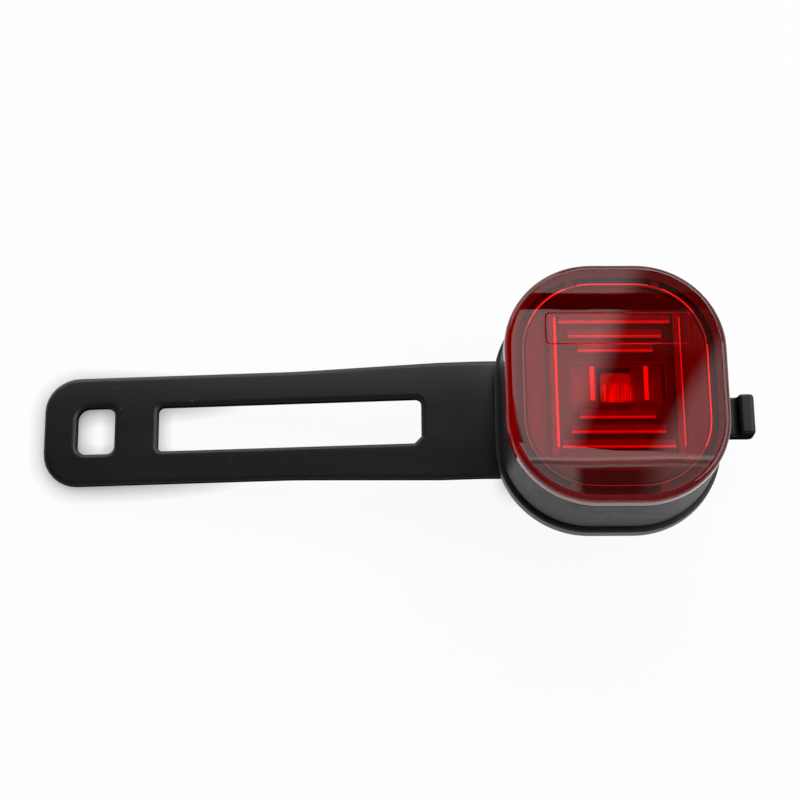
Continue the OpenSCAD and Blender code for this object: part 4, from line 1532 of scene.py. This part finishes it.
def light_studio():
    """White floor, dim surroundings, three big soft lights and the panels that the lens mirrors."""
    world = bpy.data.worlds.new("studio")
    world.use_nodes = True
    world.node_tree.nodes.clear()
    scene.world = world
    net = Wire(world.node_tree)
    direction = net.node("ShaderNodeTexCoord", out="Generated")
    front = net.node("ShaderNodeSeparateXYZ", {}, {0: direction}, 1)
    upward = net.node("ShaderNodeSeparateXYZ", {}, {0: direction}, 2)
    surround = SURROUND[0] + step_between(front, *SURROUND_FADE) * (SURROUND[1] - SURROUND[0])
    camera = net.node("ShaderNodeLightPath", out="Is Camera Ray")
    white = net.maths("MAXIMUM", camera, 1 - (upward > 0.0))
    strength = surround + white * (1 - surround)
    sky = net.node("ShaderNodeBackground", {}, {"Color": grey(1.0), "Strength": strength})
    net.node("ShaderNodeOutputWorld", {}, {"Surface": sky})
    reach = FLOOR_REACH
    stage_plane("floor", (-reach, -reach), (reach, reach), cad_low.z / MM - FLOOR_GAP, white_floor())
    for light in LIGHTS:
        area_light(*light)
    half = Vector((HEAD_W, HEAD_H)) / 2 * MIRROR_SCALE
    middle = Vector(MIRROR_AT)
    stage_plane("ceiling", middle - half, middle + half, CEILING_Z, ceiling_light(), True)
    cloth = black_cloth()
    for name, (low, high) in CLOTHS.items():
        stage_plane(name, low, high, CLOTH_Z, cloth, True)


# The whole light


aim_camera()
light_studio()

BLACK = (0.0115, 0.0112, 0.0118, 1)
housing_black = moulded_plastic("housing_black", BLACK, 0.46, 0.19)
cover_black = moulded_plastic("cover_black", tint(BLACK, 1.25), 0.46, 0.5)
# The bracket's black is darker than the housing's: painted shade, for the hook under the head
bracket_black = moulded_plastic("bracket_black", tint(BLACK, 0.45), 0.44, 0.4, True)
seal_rubber = soft_rubber("seal_rubber", grey(0.006))
pad_rubber = soft_rubber("pad_rubber", grey(0.012), 0.7)
button_rubber = soft_rubber("button_rubber", grey(0.02), 0.55)
flap_rubber = soft_rubber("flap_rubber", grey(0.018), 0.58)
socket_steel = bright_metal("socket_steel", grey(0.62), 0.3, (0.1, 1.0, 1.0))
switch_steel = bright_metal("switch_steel", grey(0.55), 0.34, (1.0, 0.1, 1.0))
screw_steel = bright_metal("screw_steel", grey(0.5), 0.32, (1.0, 1.0, 0.3))

optic_painted_glow = prism_bright()
build_lens(clear_red_lens(), lens_seat_red(), optic_painted_glow)
optic_body = optic_red("optic_red", (0.095, 0.004, 0.0035, 1), (0.155, 0.0065, 0.0055, 1), 0.55)
# The raised parts get a lighter copy of the optic's red: painted light, for the light the bars throw back
optic_raised = optic_red("optic_raised", (0.21, 0.0085, 0.007, 1), (0.31, 0.013, 0.0105, 1), 0.62)
build_optic(optic_body, optic_raised, optic_painted_glow)
build_bars(optic_raised, optic_painted_glow)
build_reflector(reflector_grey())
build_led(led_red())
build_housing(housing_black)
build_cover(cover_black)
build_rear_seal(seal_rubber)
build_bracket(bracket_black)
build_pad(pad_rubber)
build_screws(screw_steel)
build_button(button_rubber)
build_flap(flap_rubber)
build_strap(strap_silicone())

KEPT = {
    "lens_seal": seal_rubber,
    "circuit_board": circuit_green(),
    "board_chips": chip_black(),
    "tact_switch": switch_steel,
    "switch_plunger": button_rubber,
    "usb_socket": socket_steel,
    "battery_cell": cell_foil(),
    "battery_foam": foam_grey(),
    "battery_leads": lead_sheath(),
    "board_screws": screw_steel,
}
for name, material in KEPT.items():
    paint(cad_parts[name], material)
